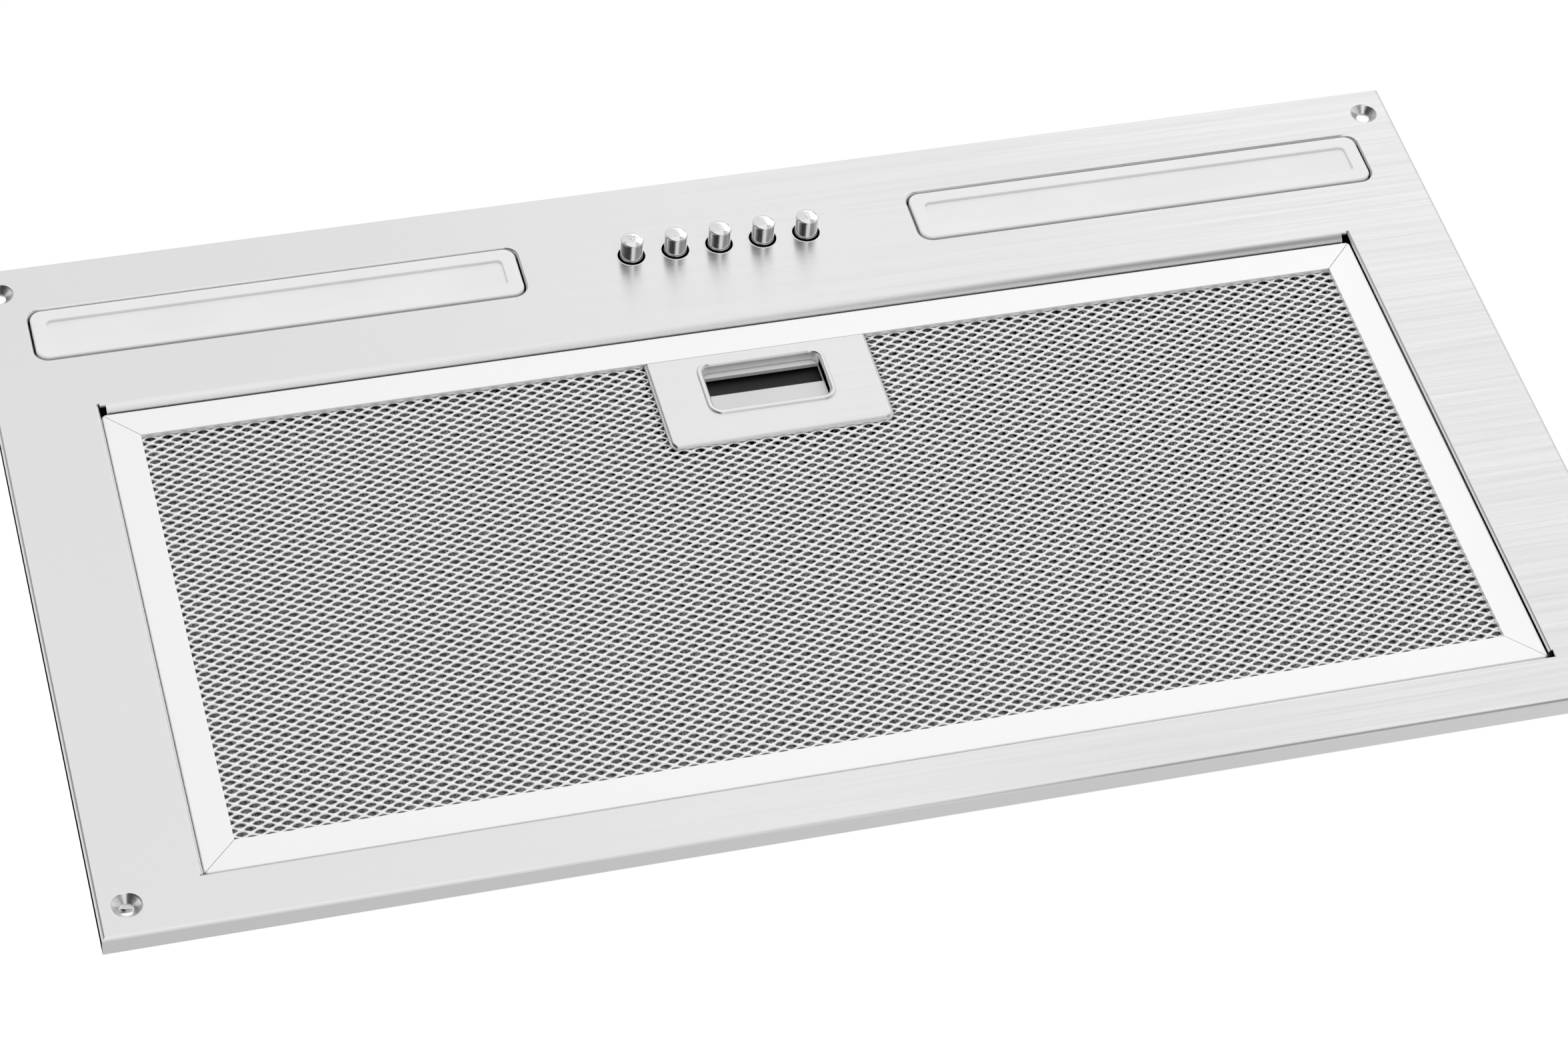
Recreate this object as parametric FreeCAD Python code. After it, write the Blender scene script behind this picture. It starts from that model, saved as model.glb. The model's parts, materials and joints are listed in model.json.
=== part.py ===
import FreeCAD, Part
import math
import os

# Range hood insert: a stainless face panel that fills a cut-out under a wall
# cabinet, with a swing-down grease filter, two lamps, five push buttons and
# the housing with the blower above it.
#
# Frame: X to the right, Y from the front edge (buttons) to the wall, Z up.
# The origin is the middle of the mounting plane, the rim of the panel's
# turned-up skirt, which meets the underside of the cabinet.
# Heights in this file are counted from the visible underside of the panel,
# and save() lowers everything by SKIRT_H. Millimetres throughout.

V = FreeCAD.Vector
UP = V(0, 0, 1)
DOWN = V(0, 0, -1)

# Face panel
PANEL_W = 520.0          # along X
PANEL_D = 294.0          # along Y
SHEET = 0.8              # stainless and housing sheet
SKIRT_H = 7.0            # turned-up skirt round the panel
BEND_R = 1.2             # outer radius of the skirt's bend
HOLE_EDGE_X = 9.5        # corner hole to the side edge
HOLE_EDGE_Y = 12.0       # corner hole to the front or wall edge
HOLE_R = 2.4             # corner screw hole
DIMPLE_R = 4.8           # rim of the pressed countersink
DIMPLE_H = 2.3           # depth of the pressed countersink
CONTROL_EDGE = 34.0      # lamps and buttons to the front edge

# Filter opening in the panel
OPEN_W = 448.7
OPEN_D = 201.5
OPEN_MID = -1.0          # opening's middle from the panel's middle
OPEN_WALL_EDGE = 19.4    # opening to the panel's wall edge
OPEN_ROLL_R = 1.2        # outer radius of the bend at the sides and the wall
OPEN_FRONT_R = 3.2       # outer radius of the bend at the front
OPEN_LIP = 4.8           # lip turned up at the front and wall sides
OPEN_SIDE_LIP = 7.5      # lip turned up at the left and right, with the pivots
NOTCH_W = 2.4            # relief notch at a corner, along the bend that it ends
NOTCH_D = 2.3            # front notches, from the lip towards the bend's start
SLIT = 0.3               # slit from a front notch to the bend's start

# Filter
FILTER_GAP_X = 0.3       # filter to the opening, each side
FILTER_GAP_FRONT = 0.7
FILTER_GAP_WALL = 1.0
FILTER_RECESS = 1.6      # filter face behind the panel face
FILTER_H = 8.5
RAIL_W = 11.5            # visible width of a rail
RAIL_T = 0.8
HEM_H = 0.9              # folded edge inside the rail
MITRE_GAP = 0.2
RAIL_CORNER_R = 1.6
MESH_T = 0.6             # one sheet of expanded metal
MESH_GAP = 0.3           # mesh pack to the rail's outer wall
MESH_COLS = 20           # gaps across a plain sheet
MESH_ROWS = 11
MESH_CORE = 3            # sheets between the outer and the inner one
MESH_STRAND = 3.0        # bars between the gaps
PIVOT_R = 1.25
PIVOT_IN = 2.4           # pivot axis to the filter's wall edge
PIVOT_UP = 2.1           # pivot axis above the filter's face
PIVOT_REACH = 1.0        # pin past the lip it turns in
KEY_SIZE = 10.0          # corner key that carries the pin
RUNNING = 0.08           # radial clearance of a turning pin
KEY_PLAY = 0.3           # mesh to the corner keys

# Filter handle and latch
HANDLE_W = 79.2
HANDLE_D = 40.3
HANDLE_CORNER_R = 3.0
HANDLE_EDGE_R = 1.5
HANDLE_TAB = 8.5         # tab behind the front rail
HANDLE_GAP = 0.15
WINDOW_W = 41.5
WINDOW_D = 20.8
WINDOW_R = 3.0
WINDOW_FRONT = 5.2       # window to the plate's front edge
WINDOW_DEPTH = 3.4       # rolled wall of the window
BEAD_W = 2.0             # raised bead round the window
BEAD_H = 0.6
CASE_W = 74.0            # latch case behind the plate
CASE_WALL = 1.0
CASE_BACK = 2.4          # case to the plate's wall-side edge
CASE_PLAY = 0.4          # mesh to the case
CASE_RAIL_LAP = 4.0      # guide rail over each end of the slider
SLIDER_W = 62.0
SLIDER_T = 1.5
SLIDER_GAP = 0.25        # slider to the window's wall, up and down
GRIP_IN = 10.2           # slider's finger edge from the window's front edge
FINGER_GAP = 8.0         # free gap in front of the finger edge
SLIDER_BACK = 15.0       # finger plate behind its edge
SLIDER_BAR = 12.0        # bar in front of the finger gap
TONGUE_W = 16.0
TONGUE_SHORT = 0.3       # tongue to the lip, latch drawn
TONGUE_PLAY = 0.4        # tongue to its slots
SPRING_WIRE = 0.5
LATCH_SPRING_R = 1.3
LATCH_SPRING_TURNS = 4
LATCH_SPRING_DROP = 0.2  # spring below the slider's visible side

# Lamps
LAMP_X = 157.0           # lamp middle from the panel's middle
LAMP_OPEN_W = 171.4
LAMP_OPEN_D = 24.3
LAMP_CORNER_R = 5.0
LAMP_LIP = 2.4
LAMP_ROLL_R = 0.8
LAMP_GAP = 0.7           # bezel to the opening
LAMP_PROUD = 0.3
LAMP_WINDOW_W = 159.5
LAMP_WINDOW_D = 12.5
LAMP_WINDOW_R = 2.0
BEZEL_H = 5.3
BEZEL_EDGE_R = 0.8
LENS_STEP = 1.6          # lens past the window, each side
LENS_IN = 1.2            # lens behind the bezel's face
LENS_T = 2.0
TRAY_H = 7.5
TRAY_T = 1.0
BOARD_T = 1.6
BOARD_W = 156.0
BOARD_D = 11.0
LED_COUNT = 9
LED_SIZE = 3.0
LED_H = 0.8
CLIP_X = 40.0            # lamp clips from the lamp's middle
CLIP_W = 8.0
CLIP_T = 0.4
CLIP_OUT = 1.7
CLIP_PLAY = 0.1          # clip to the rolled edge
CLIP_KNEE = 1.5          # widest place above the rolled edge
CLIP_FOOT = 0.6
CLIP_SHORT = 2.0         # clip below the tray's top

# Push buttons and their switch
BUTTON_COUNT = 5
BUTTON_PITCH = 15.9
BUTTON_R = 4.0
BUTTON_PROUD = 8.5
BUTTON_HOLE_R = 5.0
BUTTON_EDGE_R = 0.8
BUTTON_SHOULDER = 5.0    # button's shoulder above the panel face
BUTTON_TRAVEL = 3.5
STEM_R = 2.5
STEM_H = 19.0
SWITCH_UP = 14.0         # switch body above the panel face
SWITCH_H = 22.0
SWITCH_D = 22.0
SWITCH_END = 18.0        # switch body past the outer button
STEM_PLAY = 0.1
BRACKET_T = 1.0
BRACKET_D = 24.0
BRACKET_FOOT = 9.0
GUIDE_PLAY = 1.3
SPRING_R = 3.05
SPRING_TURNS = 4
BLADE_COUNT = 6
BLADE_W = 6.3
BLADE_T = 0.8
BLADE_H = 8.0
SWITCH_EDGE_R = 1.0
SWITCH_SCREW_L = 7.0
CHEEK_SHORT = 4.0        # bracket's cheek below the switch's top
BUTTON_NAMES = ("light", "speed_3", "speed_2", "speed_1", "off")

# Housing above the panel
BODY_W = 490.0
BODY_FRONT = 17.5        # front wall to the panel's front edge
BODY_WALL = 17.3         # wall side to the panel's wall edge
BODY_H = 150.0
BODY_TOP_D = 149.5       # flat top from front to the slope
BODY_LOW = 10.0          # upright strip at the wall side
BODY_BEND = 2.0
BASE_FLANGE = 9.0
BASE_END = 10.0          # base flange short of the housing's corners
SIDE_END = 12.0
END_FLANGE = 11.0
END_FLANGE_UP = 30.0
STUD_R = 2.0
STUD_TOP = 6.2
STUD_PLAY = 0.2
NUT_AF = 7.0
NUT_H = 3.0
STUDS_LONG = 5           # studs on the front and wall sides
STUDS_SIDE = 3
STUD_STEP_LONG = 110.0
STUD_STEP_SIDE = 90.0
SCREW_R = 1.75
SCREW_HEAD_R = 3.6
SCREW_HEAD_H = 2.2
SCREW_PLAY = 0.1
END_SCREW_L = 6.0
END_SCREWS = (0.4, 0.85)  # share of each wall where its screws sit

# Blower
BLOWER_X = -75.0
BLOWER_Y = -37.0
SCROLL_R = 72.0          # first quarter of the spiral
SCROLL_STEP = 4.0        # growth at each quarter
SCROLL_LOW = 62.0        # underside of the scroll above the panel face
SCROLL_H = 60.0
SCROLL_T = 2.0
SEAM_W = 2.0
SEAM_H = 2.0
SEAM_CLIP_W = 12.0
SEAM_CLIP_T = 1.2
SEAM_CLIP_PLAY = 0.3
TONGUE_R = 8.0
DUCT_D = 55.0
OUTBOX_X = 50.0          # outlet box, left side
OUTBOX_W = 126.0
OUTBOX_D = 113.0
INLET_R = 54.0
INLET_LIP = 3.0
GUARD_H = 2.0
GUARD_DROP = 2.0
GUARD_BAR = 2.0
GUARD_RINGS = 5
GUARD_SPOKES = 6
GUARD_FEET = 3
GUARD_OUT = 4.0          # outer ring past the inlet
WHEEL_R = 64.0
WHEEL_H = 45.0
WHEEL_UP = 6.0           # wheel above the scroll's underside
WHEEL_BLADES = 36
WHEEL_BLADE_D = 12.0
WHEEL_BLADE_T = 1.2
WHEEL_BLADE_TURN = 35.0
WHEEL_RING_D = 4.0
WHEEL_SKIN = 1.5
CUP_R = 44.0
CUP_UP = 4.0
HUB_T = 4.0
HUB_UP = 2.0
MOTOR_R = 38.0
MOTOR_UP = 22.0          # motor's lower end above the scroll's underside
MOTOR_H = 50.0
MOTOR_HOLE_PLAY = 1.5
MOTOR_EDGE_R = 2.0
EAR_R = 54.0             # motor screws from the axis
EAR_W = 14.0
EAR_T = 2.0
EAR_COUNT = 3
BUSH_R = 6.0
BUSH_H = 4.0
SHAFT_R = 4.0
SHAFT_PLAY = 0.06
SHAFT_IN = 14.0
HANGER_R = 5.0
HANGERS = ((-52.0, 42.0), (-52.0, -44.0), (52.0, 40.0))  # from the blower's axis
HANGER_BOX = 20.0        # fourth hanger, beside the outlet box
TOP_SCREW_L = 8.0

# Duct collar with its two flaps
COLLAR_R = 59.5          # outside of the collar, for a 120 mm duct
COLLAR_T = 1.2
COLLAR_H = 40.0
COLLAR_FLANGE = 10.0
COLLAR_SCREW_L = 5.0
SPIGOT_R = 57.0
SPIGOT_T = 2.0
SPIGOT_PLAY = 1.5        # spigot to the hole in the housing
FLAP_UP = 16.0           # flap axis above the housing's top
FLAP_GAP = 1.0
FLAP_T = 1.0
FLAP_PIN_R = 1.5
KNUCKLE_R = 3.2
KNUCKLES = 6
KNUCKLE_GAP = 0.3        # between two knuckles
KNUCKLE_END = 3.0        # last knuckle to the flap's rim
FLAP_SPLIT = 0.2         # flap to the other flap's knuckles
SEAT_W = 2.0             # seat ring for the closed flaps
SEAT_T = 1.0
SEAT_GAP = 0.3
PIN_SHORT = 0.3          # flap pin inside the collar's outside

# Supply box, gland and electrical parts
BOX_X = -195.0
BOX_Y = -78.0
BOX_W = 60.0
BOX_D = 60.0
BOX_H = 28.0
BOX_T = 2.0
BOX_R = 4.0
BOSS_BORE = 10.0
LID_T = 2.0
LID_SCREW_L = 9.0
BOSS_IN = 2.6            # middle of a lid screw's boss to the box's inner wall
GLAND_R = 8.0
GLAND_BORE_R = 3.75
GLAND_NUT_AF = 19.0
GLAND_NUT_H = 5.0
GLAND_LEN = 26.0
GLAND_IN = 4.0           # thread inside the box
GLAND_EDGE_R = 2.5
BLOCK_W = 40.0
BLOCK_D = 16.0
BLOCK_H = 14.0
BLOCK_OFF = 4.0          # block towards the gland from the box's middle
BLOCK_POLES = 4
BLOCK_SCREW_R = 2.5
BLOCK_WIRE_R = 2.0
CAP_X = -200.0
CAP_Y = -15.0
CAP_R = 15.0
CAP_H = 58.0
CAP_EDGE_R = 1.5
DRIVER_X = -197.0
DRIVER_W = 70.0
DRIVER_D = 24.0
DRIVER_H = 28.0
DRIVER_UP = 62.0
DRIVER_EDGE_R = 1.5

# Places worked out from the sizes above
WALL_Y = PANEL_D / 2
FRONT_Y = -PANEL_D / 2
HOLE_X = PANEL_W / 2 - HOLE_EDGE_X
HOLE_Y = PANEL_D / 2 - HOLE_EDGE_Y
CONTROL_Y = FRONT_Y + CONTROL_EDGE
OPEN_Y1 = WALL_Y - OPEN_WALL_EDGE
OPEN_Y0 = OPEN_Y1 - OPEN_D
OPEN_X = OPEN_W / 2
FILTER_X = OPEN_X - FILTER_GAP_X
FILTER_Y0 = OPEN_Y0 + FILTER_GAP_FRONT
FILTER_Y1 = OPEN_Y1 - FILTER_GAP_WALL
FILTER_TOP = FILTER_RECESS + FILTER_H
HEM_TOP = FILTER_RECESS + RAIL_T + HEM_H
PACK_TOP = FILTER_TOP - RAIL_T
RAIL_IN_Y = FILTER_Y0 + RAIL_W
HANDLE_Y0 = RAIL_IN_Y + HANDLE_GAP
HANDLE_Y1 = HANDLE_Y0 + HANDLE_D
WINDOW_Y = HANDLE_Y0 + WINDOW_FRONT + WINDOW_D / 2
CASE_Y0 = FILTER_Y0 + RAIL_T + MESH_GAP
CASE_Y1 = HANDLE_Y1 - CASE_BACK
PIVOT_Y = FILTER_Y1 - PIVOT_IN
PIVOT_Z = FILTER_RECESS + PIVOT_UP
SLIDER_Z = FILTER_RECESS + WINDOW_DEPTH + SLIDER_GAP
BODY_X = BODY_W / 2
BODY_Y0 = FRONT_Y + BODY_FRONT
BODY_Y1 = WALL_Y - BODY_WALL
SLOPE_Y = BODY_Y0 + BODY_TOP_D
SCROLL_TOP = SCROLL_LOW + SCROLL_H
SEAM_Z = SCROLL_LOW + SCROLL_H / 2
DUCT_Y0 = BLOWER_Y - SCROLL_R - 3 * SCROLL_STEP
DUCT_Y1 = DUCT_Y0 + DUCT_D
COLLAR_X = OUTBOX_X + OUTBOX_W / 2
COLLAR_Y = DUCT_Y0 + OUTBOX_D / 2
FLAP_Z = BODY_H + FLAP_UP
SHAFT_Z0 = SCROLL_LOW + WHEEL_UP
MOTOR_Z0 = SCROLL_LOW + MOTOR_UP


def block(x0, x1, y0, y1, z0, z1):
    return Part.makeBox(x1 - x0, y1 - y0, z1 - z0, V(x0, y0, z0))


def rod(radius, start, direction, length):
    return Part.makeCylinder(radius, length, start, direction)


def tube(outer, inner, start, direction, length):
    return rod(outer, start, direction, length).cut(rod(inner, start, direction, length))


def upright_edges(shape):
    return [e for e in shape.Edges if e.BoundBox.XLength < 1e-6 and e.BoundBox.YLength < 1e-6]


def edges_level(shape, z):
    """Edges that lie flat at height z."""
    return [e for e in shape.Edges if abs(e.BoundBox.ZMin - z) < 1e-6 and abs(e.BoundBox.ZMax - z) < 1e-6]


def edges_inside(edges, x0, x1, y0, y1):
    """Those of the edges whose box lies in a rectangle."""
    grow = 1e-3
    found = []
    for edge in edges:
        box = edge.BoundBox
        if box.XMin > x0 - grow and box.XMax < x1 + grow and box.YMin > y0 - grow and box.YMax < y1 + grow:
            found.append(edge)
    return found


def plate(cx, cy, width, depth, radius, z0, z1):
    """A block about (cx, cy) with its four upright edges rounded."""
    shape = block(cx - width / 2, cx + width / 2, cy - depth / 2, cy + depth / 2, z0, z1)
    if radius > 0:
        shape = shape.makeFillet(radius, upright_edges(shape))
    return shape


def prism(points, z0, z1):
    """A polygon of (x, y) points between two heights."""
    ring = [V(x, y, z0) for x, y in points]
    face = Part.Face(Part.makePolygon(ring + ring[:1]))
    return face.extrude(V(0, 0, z1 - z0))


def profile(points, x0, x1):
    """A polygon of (y, z) points between two places along X."""
    ring = [V(x0, y, z) for y, z in points]
    face = Part.Face(Part.makePolygon(ring + ring[:1]))
    return face.extrude(V(x1 - x0, 0, 0))


def inset(points, distance):
    """A convex polygon with each side moved inwards."""
    area = sum(a[0] * b[1] - b[0] * a[1] for a, b in zip(points, points[1:] + points[:1]))
    turn = 1.0 if area > 0 else -1.0
    sides = []
    for a, b in zip(points, points[1:] + points[:1]):
        length = math.hypot(b[0] - a[0], b[1] - a[1])
        normal = (-turn * (b[1] - a[1]) / length, turn * (b[0] - a[0]) / length)
        sides.append((normal, normal[0] * a[0] + normal[1] * a[1] + distance))
    corners = []
    for (n1, d1), (n2, d2) in zip(sides[-1:] + sides[:-1], sides):
        det = n1[0] * n2[1] - n1[1] * n2[0]
        corners.append(((d1 * n2[1] - d2 * n1[1]) / det, (n1[0] * d2 - n2[0] * d1) / det))
    return corners


def hexagon(across, start, direction, length):
    """A hexagonal bar, by its size across flats."""
    radius = across / math.sqrt(3)
    turned = FreeCAD.Rotation(UP, direction)
    ring = []
    for i in range(6):
        angle = math.radians(60 * i)
        ring.append(start + turned.multVec(V(radius * math.cos(angle), radius * math.sin(angle), 0)))
    face = Part.Face(Part.makePolygon(ring + ring[:1]))
    return face.extrude(direction * length)


def screw(seat, direction, length, radius=SCREW_R):
    """A pan-head screw whose head sits on seat and whose shank runs along direction."""
    head = rod(SCREW_HEAD_R, seat, -direction, SCREW_HEAD_H)
    head = head.makeFillet(SCREW_HEAD_H * 0.45, [head.Edges[0]])
    slot = Part.makeBox(SCREW_HEAD_R * 1.2, SCREW_HEAD_R * 0.3, SCREW_HEAD_H * 0.5)
    slot.translate(V(-SCREW_HEAD_R * 0.6, -SCREW_HEAD_R * 0.15, SCREW_HEAD_H * 0.55))
    slot.Placement = FreeCAD.Placement(seat, FreeCAD.Rotation(UP, -direction)).multiply(slot.Placement)
    return head.fuse(rod(radius, seat, direction, length)).cut(slot).removeSplitter()


def screw_hole(seat, direction, length, radius=SCREW_R):
    return rod(radius + SCREW_PLAY, seat - direction, direction, length + 2)


def least_gap(path, wire, turns):
    """A spring's least gap to itself, between points of its path half a turn or more apart."""
    marks = path.discretize(Number=24 * turns + 1)
    return min(a.distanceToPoint(b) for i, a in enumerate(marks) for b in marks[i + 12:]) - wire


def coil(base, direction, radius, wire, length, turns):
    """A compression spring of quarter-turn arcs, from base along direction."""
    turned = FreeCAD.Rotation(UP, direction)
    run = length - wire
    steps = turns * 4
    edges = []

    def at(step):
        angle = math.pi / 2 * step
        height = wire / 2 + run * step / steps
        return base + turned.multVec(V(radius * math.cos(angle), radius * math.sin(angle), height))

    for step in range(steps):
        edges.append(Part.Arc(at(step), at(step + 0.5), at(step + 1)).toShape())
    path = Part.Wire(edges)
    start = at(0)
    along = path.Edges[0].tangentAt(path.Edges[0].FirstParameter)
    ring = Part.Wire(Part.makeCircle(wire / 2, start, along))
    print("spring, least gap to itself", round(least_gap(path, wire, turns), 2))
    return path.makePipeShell([ring], True)


def group(shapes):
    return Part.makeCompound(shapes)


def add_rolled_opening(sheet, cx, cy, width, depth, radius, lip, roll):
    """An opening whose edge is rolled up, with a lip of the sheet's thickness."""
    outer = plate(cx, cy, width + 2 * SHEET, depth + 2 * SHEET, radius + SHEET, SHEET, lip)
    sheet = sheet.fuse(outer).cut(plate(cx, cy, width, depth, radius, -1, lip + 1))
    rim = edges_inside(edges_level(sheet, 0), cx - width / 2, cx + width / 2, cy - depth / 2, cy + depth / 2)
    return sheet.makeFillet(roll, rim)


def lip_profile(radius, lip):
    """A bent lip: out from the bend's start, with heights along Z."""
    inner = radius - SHEET
    half = math.sqrt(0.5)
    start = V(0, -radius, 0)
    turn = Part.Arc(start, V(0, -radius + radius * half, radius - radius * half), V(0, 0, radius)).toShape()
    back = Part.Arc(V(0, -SHEET, radius), V(0, -radius + inner * half, radius - inner * half),
                    V(0, -radius, SHEET)).toShape()
    rise = [V(0, 0, radius), V(0, 0, lip), V(0, -SHEET, lip), V(0, -SHEET, radius)]
    lines = [Part.LineSegment(a, b).toShape() for a, b in zip(rise, rise[1:])]
    close = Part.LineSegment(V(0, -radius, SHEET), start).toShape()
    return Part.Face(Part.Wire([turn, *lines, back, close]))


def opening_lip(radius, lip, edge, turn, start, end):
    """The bent lip on one side of the opening; turn is its angle from the front side's."""
    solid = lip_profile(radius, lip).extrude(V(end - start, 0, 0))
    solid.translate(V(start, edge, 0))
    solid.rotate(V(0, 0, 0), UP, turn)
    return solid


def add_filter_opening(sheet):
    """The filter's opening: four bent lips that end in relief notches."""
    left = OPEN_MID - OPEN_X
    right = OPEN_MID + OPEN_X
    front = OPEN_Y0 - OPEN_FRONT_R
    sheet = sheet.cut(block(left - OPEN_ROLL_R, right + OPEN_ROLL_R, front, OPEN_Y1 + OPEN_ROLL_R, -1, SHEET + 1))
    front_lip = opening_lip(OPEN_FRONT_R, OPEN_LIP, OPEN_Y0, 0, left + SLIT, right - SLIT)
    for x0, x1 in ((left, left + NOTCH_W), (right - NOTCH_W, right)):
        front_lip = front_lip.cut(block(x0, x1, OPEN_Y0 - NOTCH_D, OPEN_Y0 + 1, -1, OPEN_LIP + 1))
    wall_lip = opening_lip(OPEN_ROLL_R, OPEN_LIP, -OPEN_Y1, 180, -right - OPEN_ROLL_R, -left + OPEN_ROLL_R)
    right_lip = opening_lip(OPEN_ROLL_R, OPEN_SIDE_LIP, -right, 90, front, OPEN_Y1 - NOTCH_W)
    left_lip = opening_lip(OPEN_ROLL_R, OPEN_SIDE_LIP, left, -90, -OPEN_Y1, -front)
    for lip in (front_lip, wall_lip, right_lip, left_lip):
        sheet = sheet.fuse(lip)
    for edge, out in ((left, -1), (right, 1)):
        sheet = sheet.cut(rod(PIVOT_R + RUNNING, V(edge - 2 * out, PIVOT_Y, PIVOT_Z), V(out, 0, 0), 5))
    return sheet.removeSplitter()


def corner_places():
    return [(x, y) for x in (-HOLE_X, HOLE_X) for y in (-HOLE_Y, HOLE_Y)]


def button_places():
    first = -BUTTON_PITCH * (BUTTON_COUNT - 1) / 2
    return [first + BUTTON_PITCH * i for i in range(BUTTON_COUNT)]


def face_panel():
    outer = block(-PANEL_W / 2, PANEL_W / 2, FRONT_Y, WALL_Y, 0, SKIRT_H)
    outer = outer.makeFillet(BEND_R, edges_level(outer, 0))
    inner = block(-PANEL_W / 2 + SHEET, PANEL_W / 2 - SHEET, FRONT_Y + SHEET, WALL_Y - SHEET, SHEET, SKIRT_H + 1)
    inner = inner.makeFillet(BEND_R - SHEET, edges_level(inner, SHEET))
    sheet = add_filter_opening(outer.cut(inner))
    for side in (-1, 1):
        sheet = add_rolled_opening(
            sheet, side * LAMP_X, CONTROL_Y, LAMP_OPEN_W, LAMP_OPEN_D, LAMP_CORNER_R, LAMP_LIP, LAMP_ROLL_R)
    for x, y in corner_places():
        boss = Part.makeCone(DIMPLE_R + SHEET, HOLE_R + SHEET, DIMPLE_H + SHEET, V(x, y, 0))
        dish = Part.makeCone(DIMPLE_R, HOLE_R, DIMPLE_H, V(x, y, 0))
        hole = rod(HOLE_R, V(x, y, 0), UP, DIMPLE_H + 2 * SHEET)
        sheet = sheet.fuse(boss).cut(dish).cut(hole)
        rim = edges_inside(edges_level(sheet, 0), x - DIMPLE_R, x + DIMPLE_R, y - DIMPLE_R, y + DIMPLE_R)
        sheet = sheet.makeFillet(SHEET * 0.9, rim)
    for x in button_places():
        sheet = sheet.cut(rod(BUTTON_HOLE_R, V(x, CONTROL_Y, -1), UP, SHEET + 2))
    return sheet


def stud_places():
    """Welded studs along the base flanges of the housing."""
    places = []
    row = BASE_FLANGE / 2
    for i in range(STUDS_LONG):
        x = STUD_STEP_LONG * (i - (STUDS_LONG - 1) / 2)
        places += [(x, BODY_Y0 - row), (x, BODY_Y1 + row)]
    for i in range(STUDS_SIDE):
        y = STUD_STEP_SIDE * (i - (STUDS_SIDE - 1) / 2)
        places += [(-BODY_X - row, y), (BODY_X + row, y)]
    return places


def bracket_stud_places():
    x = switch_half() + BRACKET_T + BRACKET_FOOT / 2
    return [(-x, CONTROL_Y), (x, CONTROL_Y)]


def weld_studs():
    places = stud_places() + bracket_stud_places()
    return group([rod(STUD_R, V(x, y, SHEET), UP, STUD_TOP - SHEET) for x, y in places])


def nut(x, y, seat):
    body = hexagon(NUT_AF, V(x, y, seat), UP, NUT_H)
    return body.cut(rod(STUD_R, V(x, y, seat - 1), UP, NUT_H + 2))


def stud_nuts():
    nuts = [nut(x, y, 2 * SHEET) for x, y in stud_places()]
    nuts += [nut(x, y, SHEET + BRACKET_T) for x, y in bracket_stud_places()]
    return group(nuts)


def body_outline():
    return [(BODY_Y0, SHEET), (BODY_Y0, BODY_H), (SLOPE_Y, BODY_H), (BODY_Y1, BODY_LOW), (BODY_Y1, SHEET)]


def bent_profile(points, x0, x1, radius):
    """A profile along X with its bends rounded, but not its two lowest corners."""
    shape = profile(points, x0, x1)
    low = min(z for _, z in points)
    bends = []
    for edge in shape.Edges:
        box = edge.BoundBox
        if box.XLength > 1e-6 and box.YLength < 1e-6 and box.ZLength < 1e-6 and box.ZMin > low + 1e-6:
            bends.append(edge)
    return shape.makeFillet(radius, bends)


def inner_outline(distance):
    """The housing's outline moved in, and carried down through its open underside."""
    points = inset(body_outline(), distance)
    low = min(z for _, z in points)
    return [(y, z - distance - 1 if abs(z - low) < 1e-6 else z) for y, z in points]


def slope_frame():
    """Start, direction up the slope and outward normal of the sloping wall."""
    start = V(0, BODY_Y1, BODY_LOW)
    along = V(0, SLOPE_Y - BODY_Y1, BODY_H - BODY_LOW)
    length = along.Length
    along.normalize()
    return start, along, V(0, along.z, -along.y), length


def end_screws():
    """Seat and inward direction of each screw between the wrap and its ends."""
    found = []
    start, along, normal, length = slope_frame()
    for side in (-1, 1):
        x = side * (BODY_X - END_FLANGE / 2)
        for part in END_SCREWS:
            found.append((V(x, BODY_Y0, BODY_H * part), V(0, 1, 0)))
            found.append((V(x, BODY_Y0 + BODY_TOP_D * part, BODY_H), DOWN))
            place = start + along * (length * part)
            found.append((V(x, place.y, place.z), -normal))
    return found


def hanger_places():
    places = [(BLOWER_X + x, BLOWER_Y + y) for x, y in HANGERS]
    return places + [(OUTBOX_X - HANGER_BOX, DUCT_Y0 + HANGER_BOX)]


def collar_screw_places():
    reach = COLLAR_R + COLLAR_FLANGE / 2
    places = []
    for angle in (45, 135, 225, 315):
        turn = math.radians(angle)
        places.append((COLLAR_X + reach * math.cos(turn), COLLAR_Y + reach * math.sin(turn)))
    return places


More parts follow.
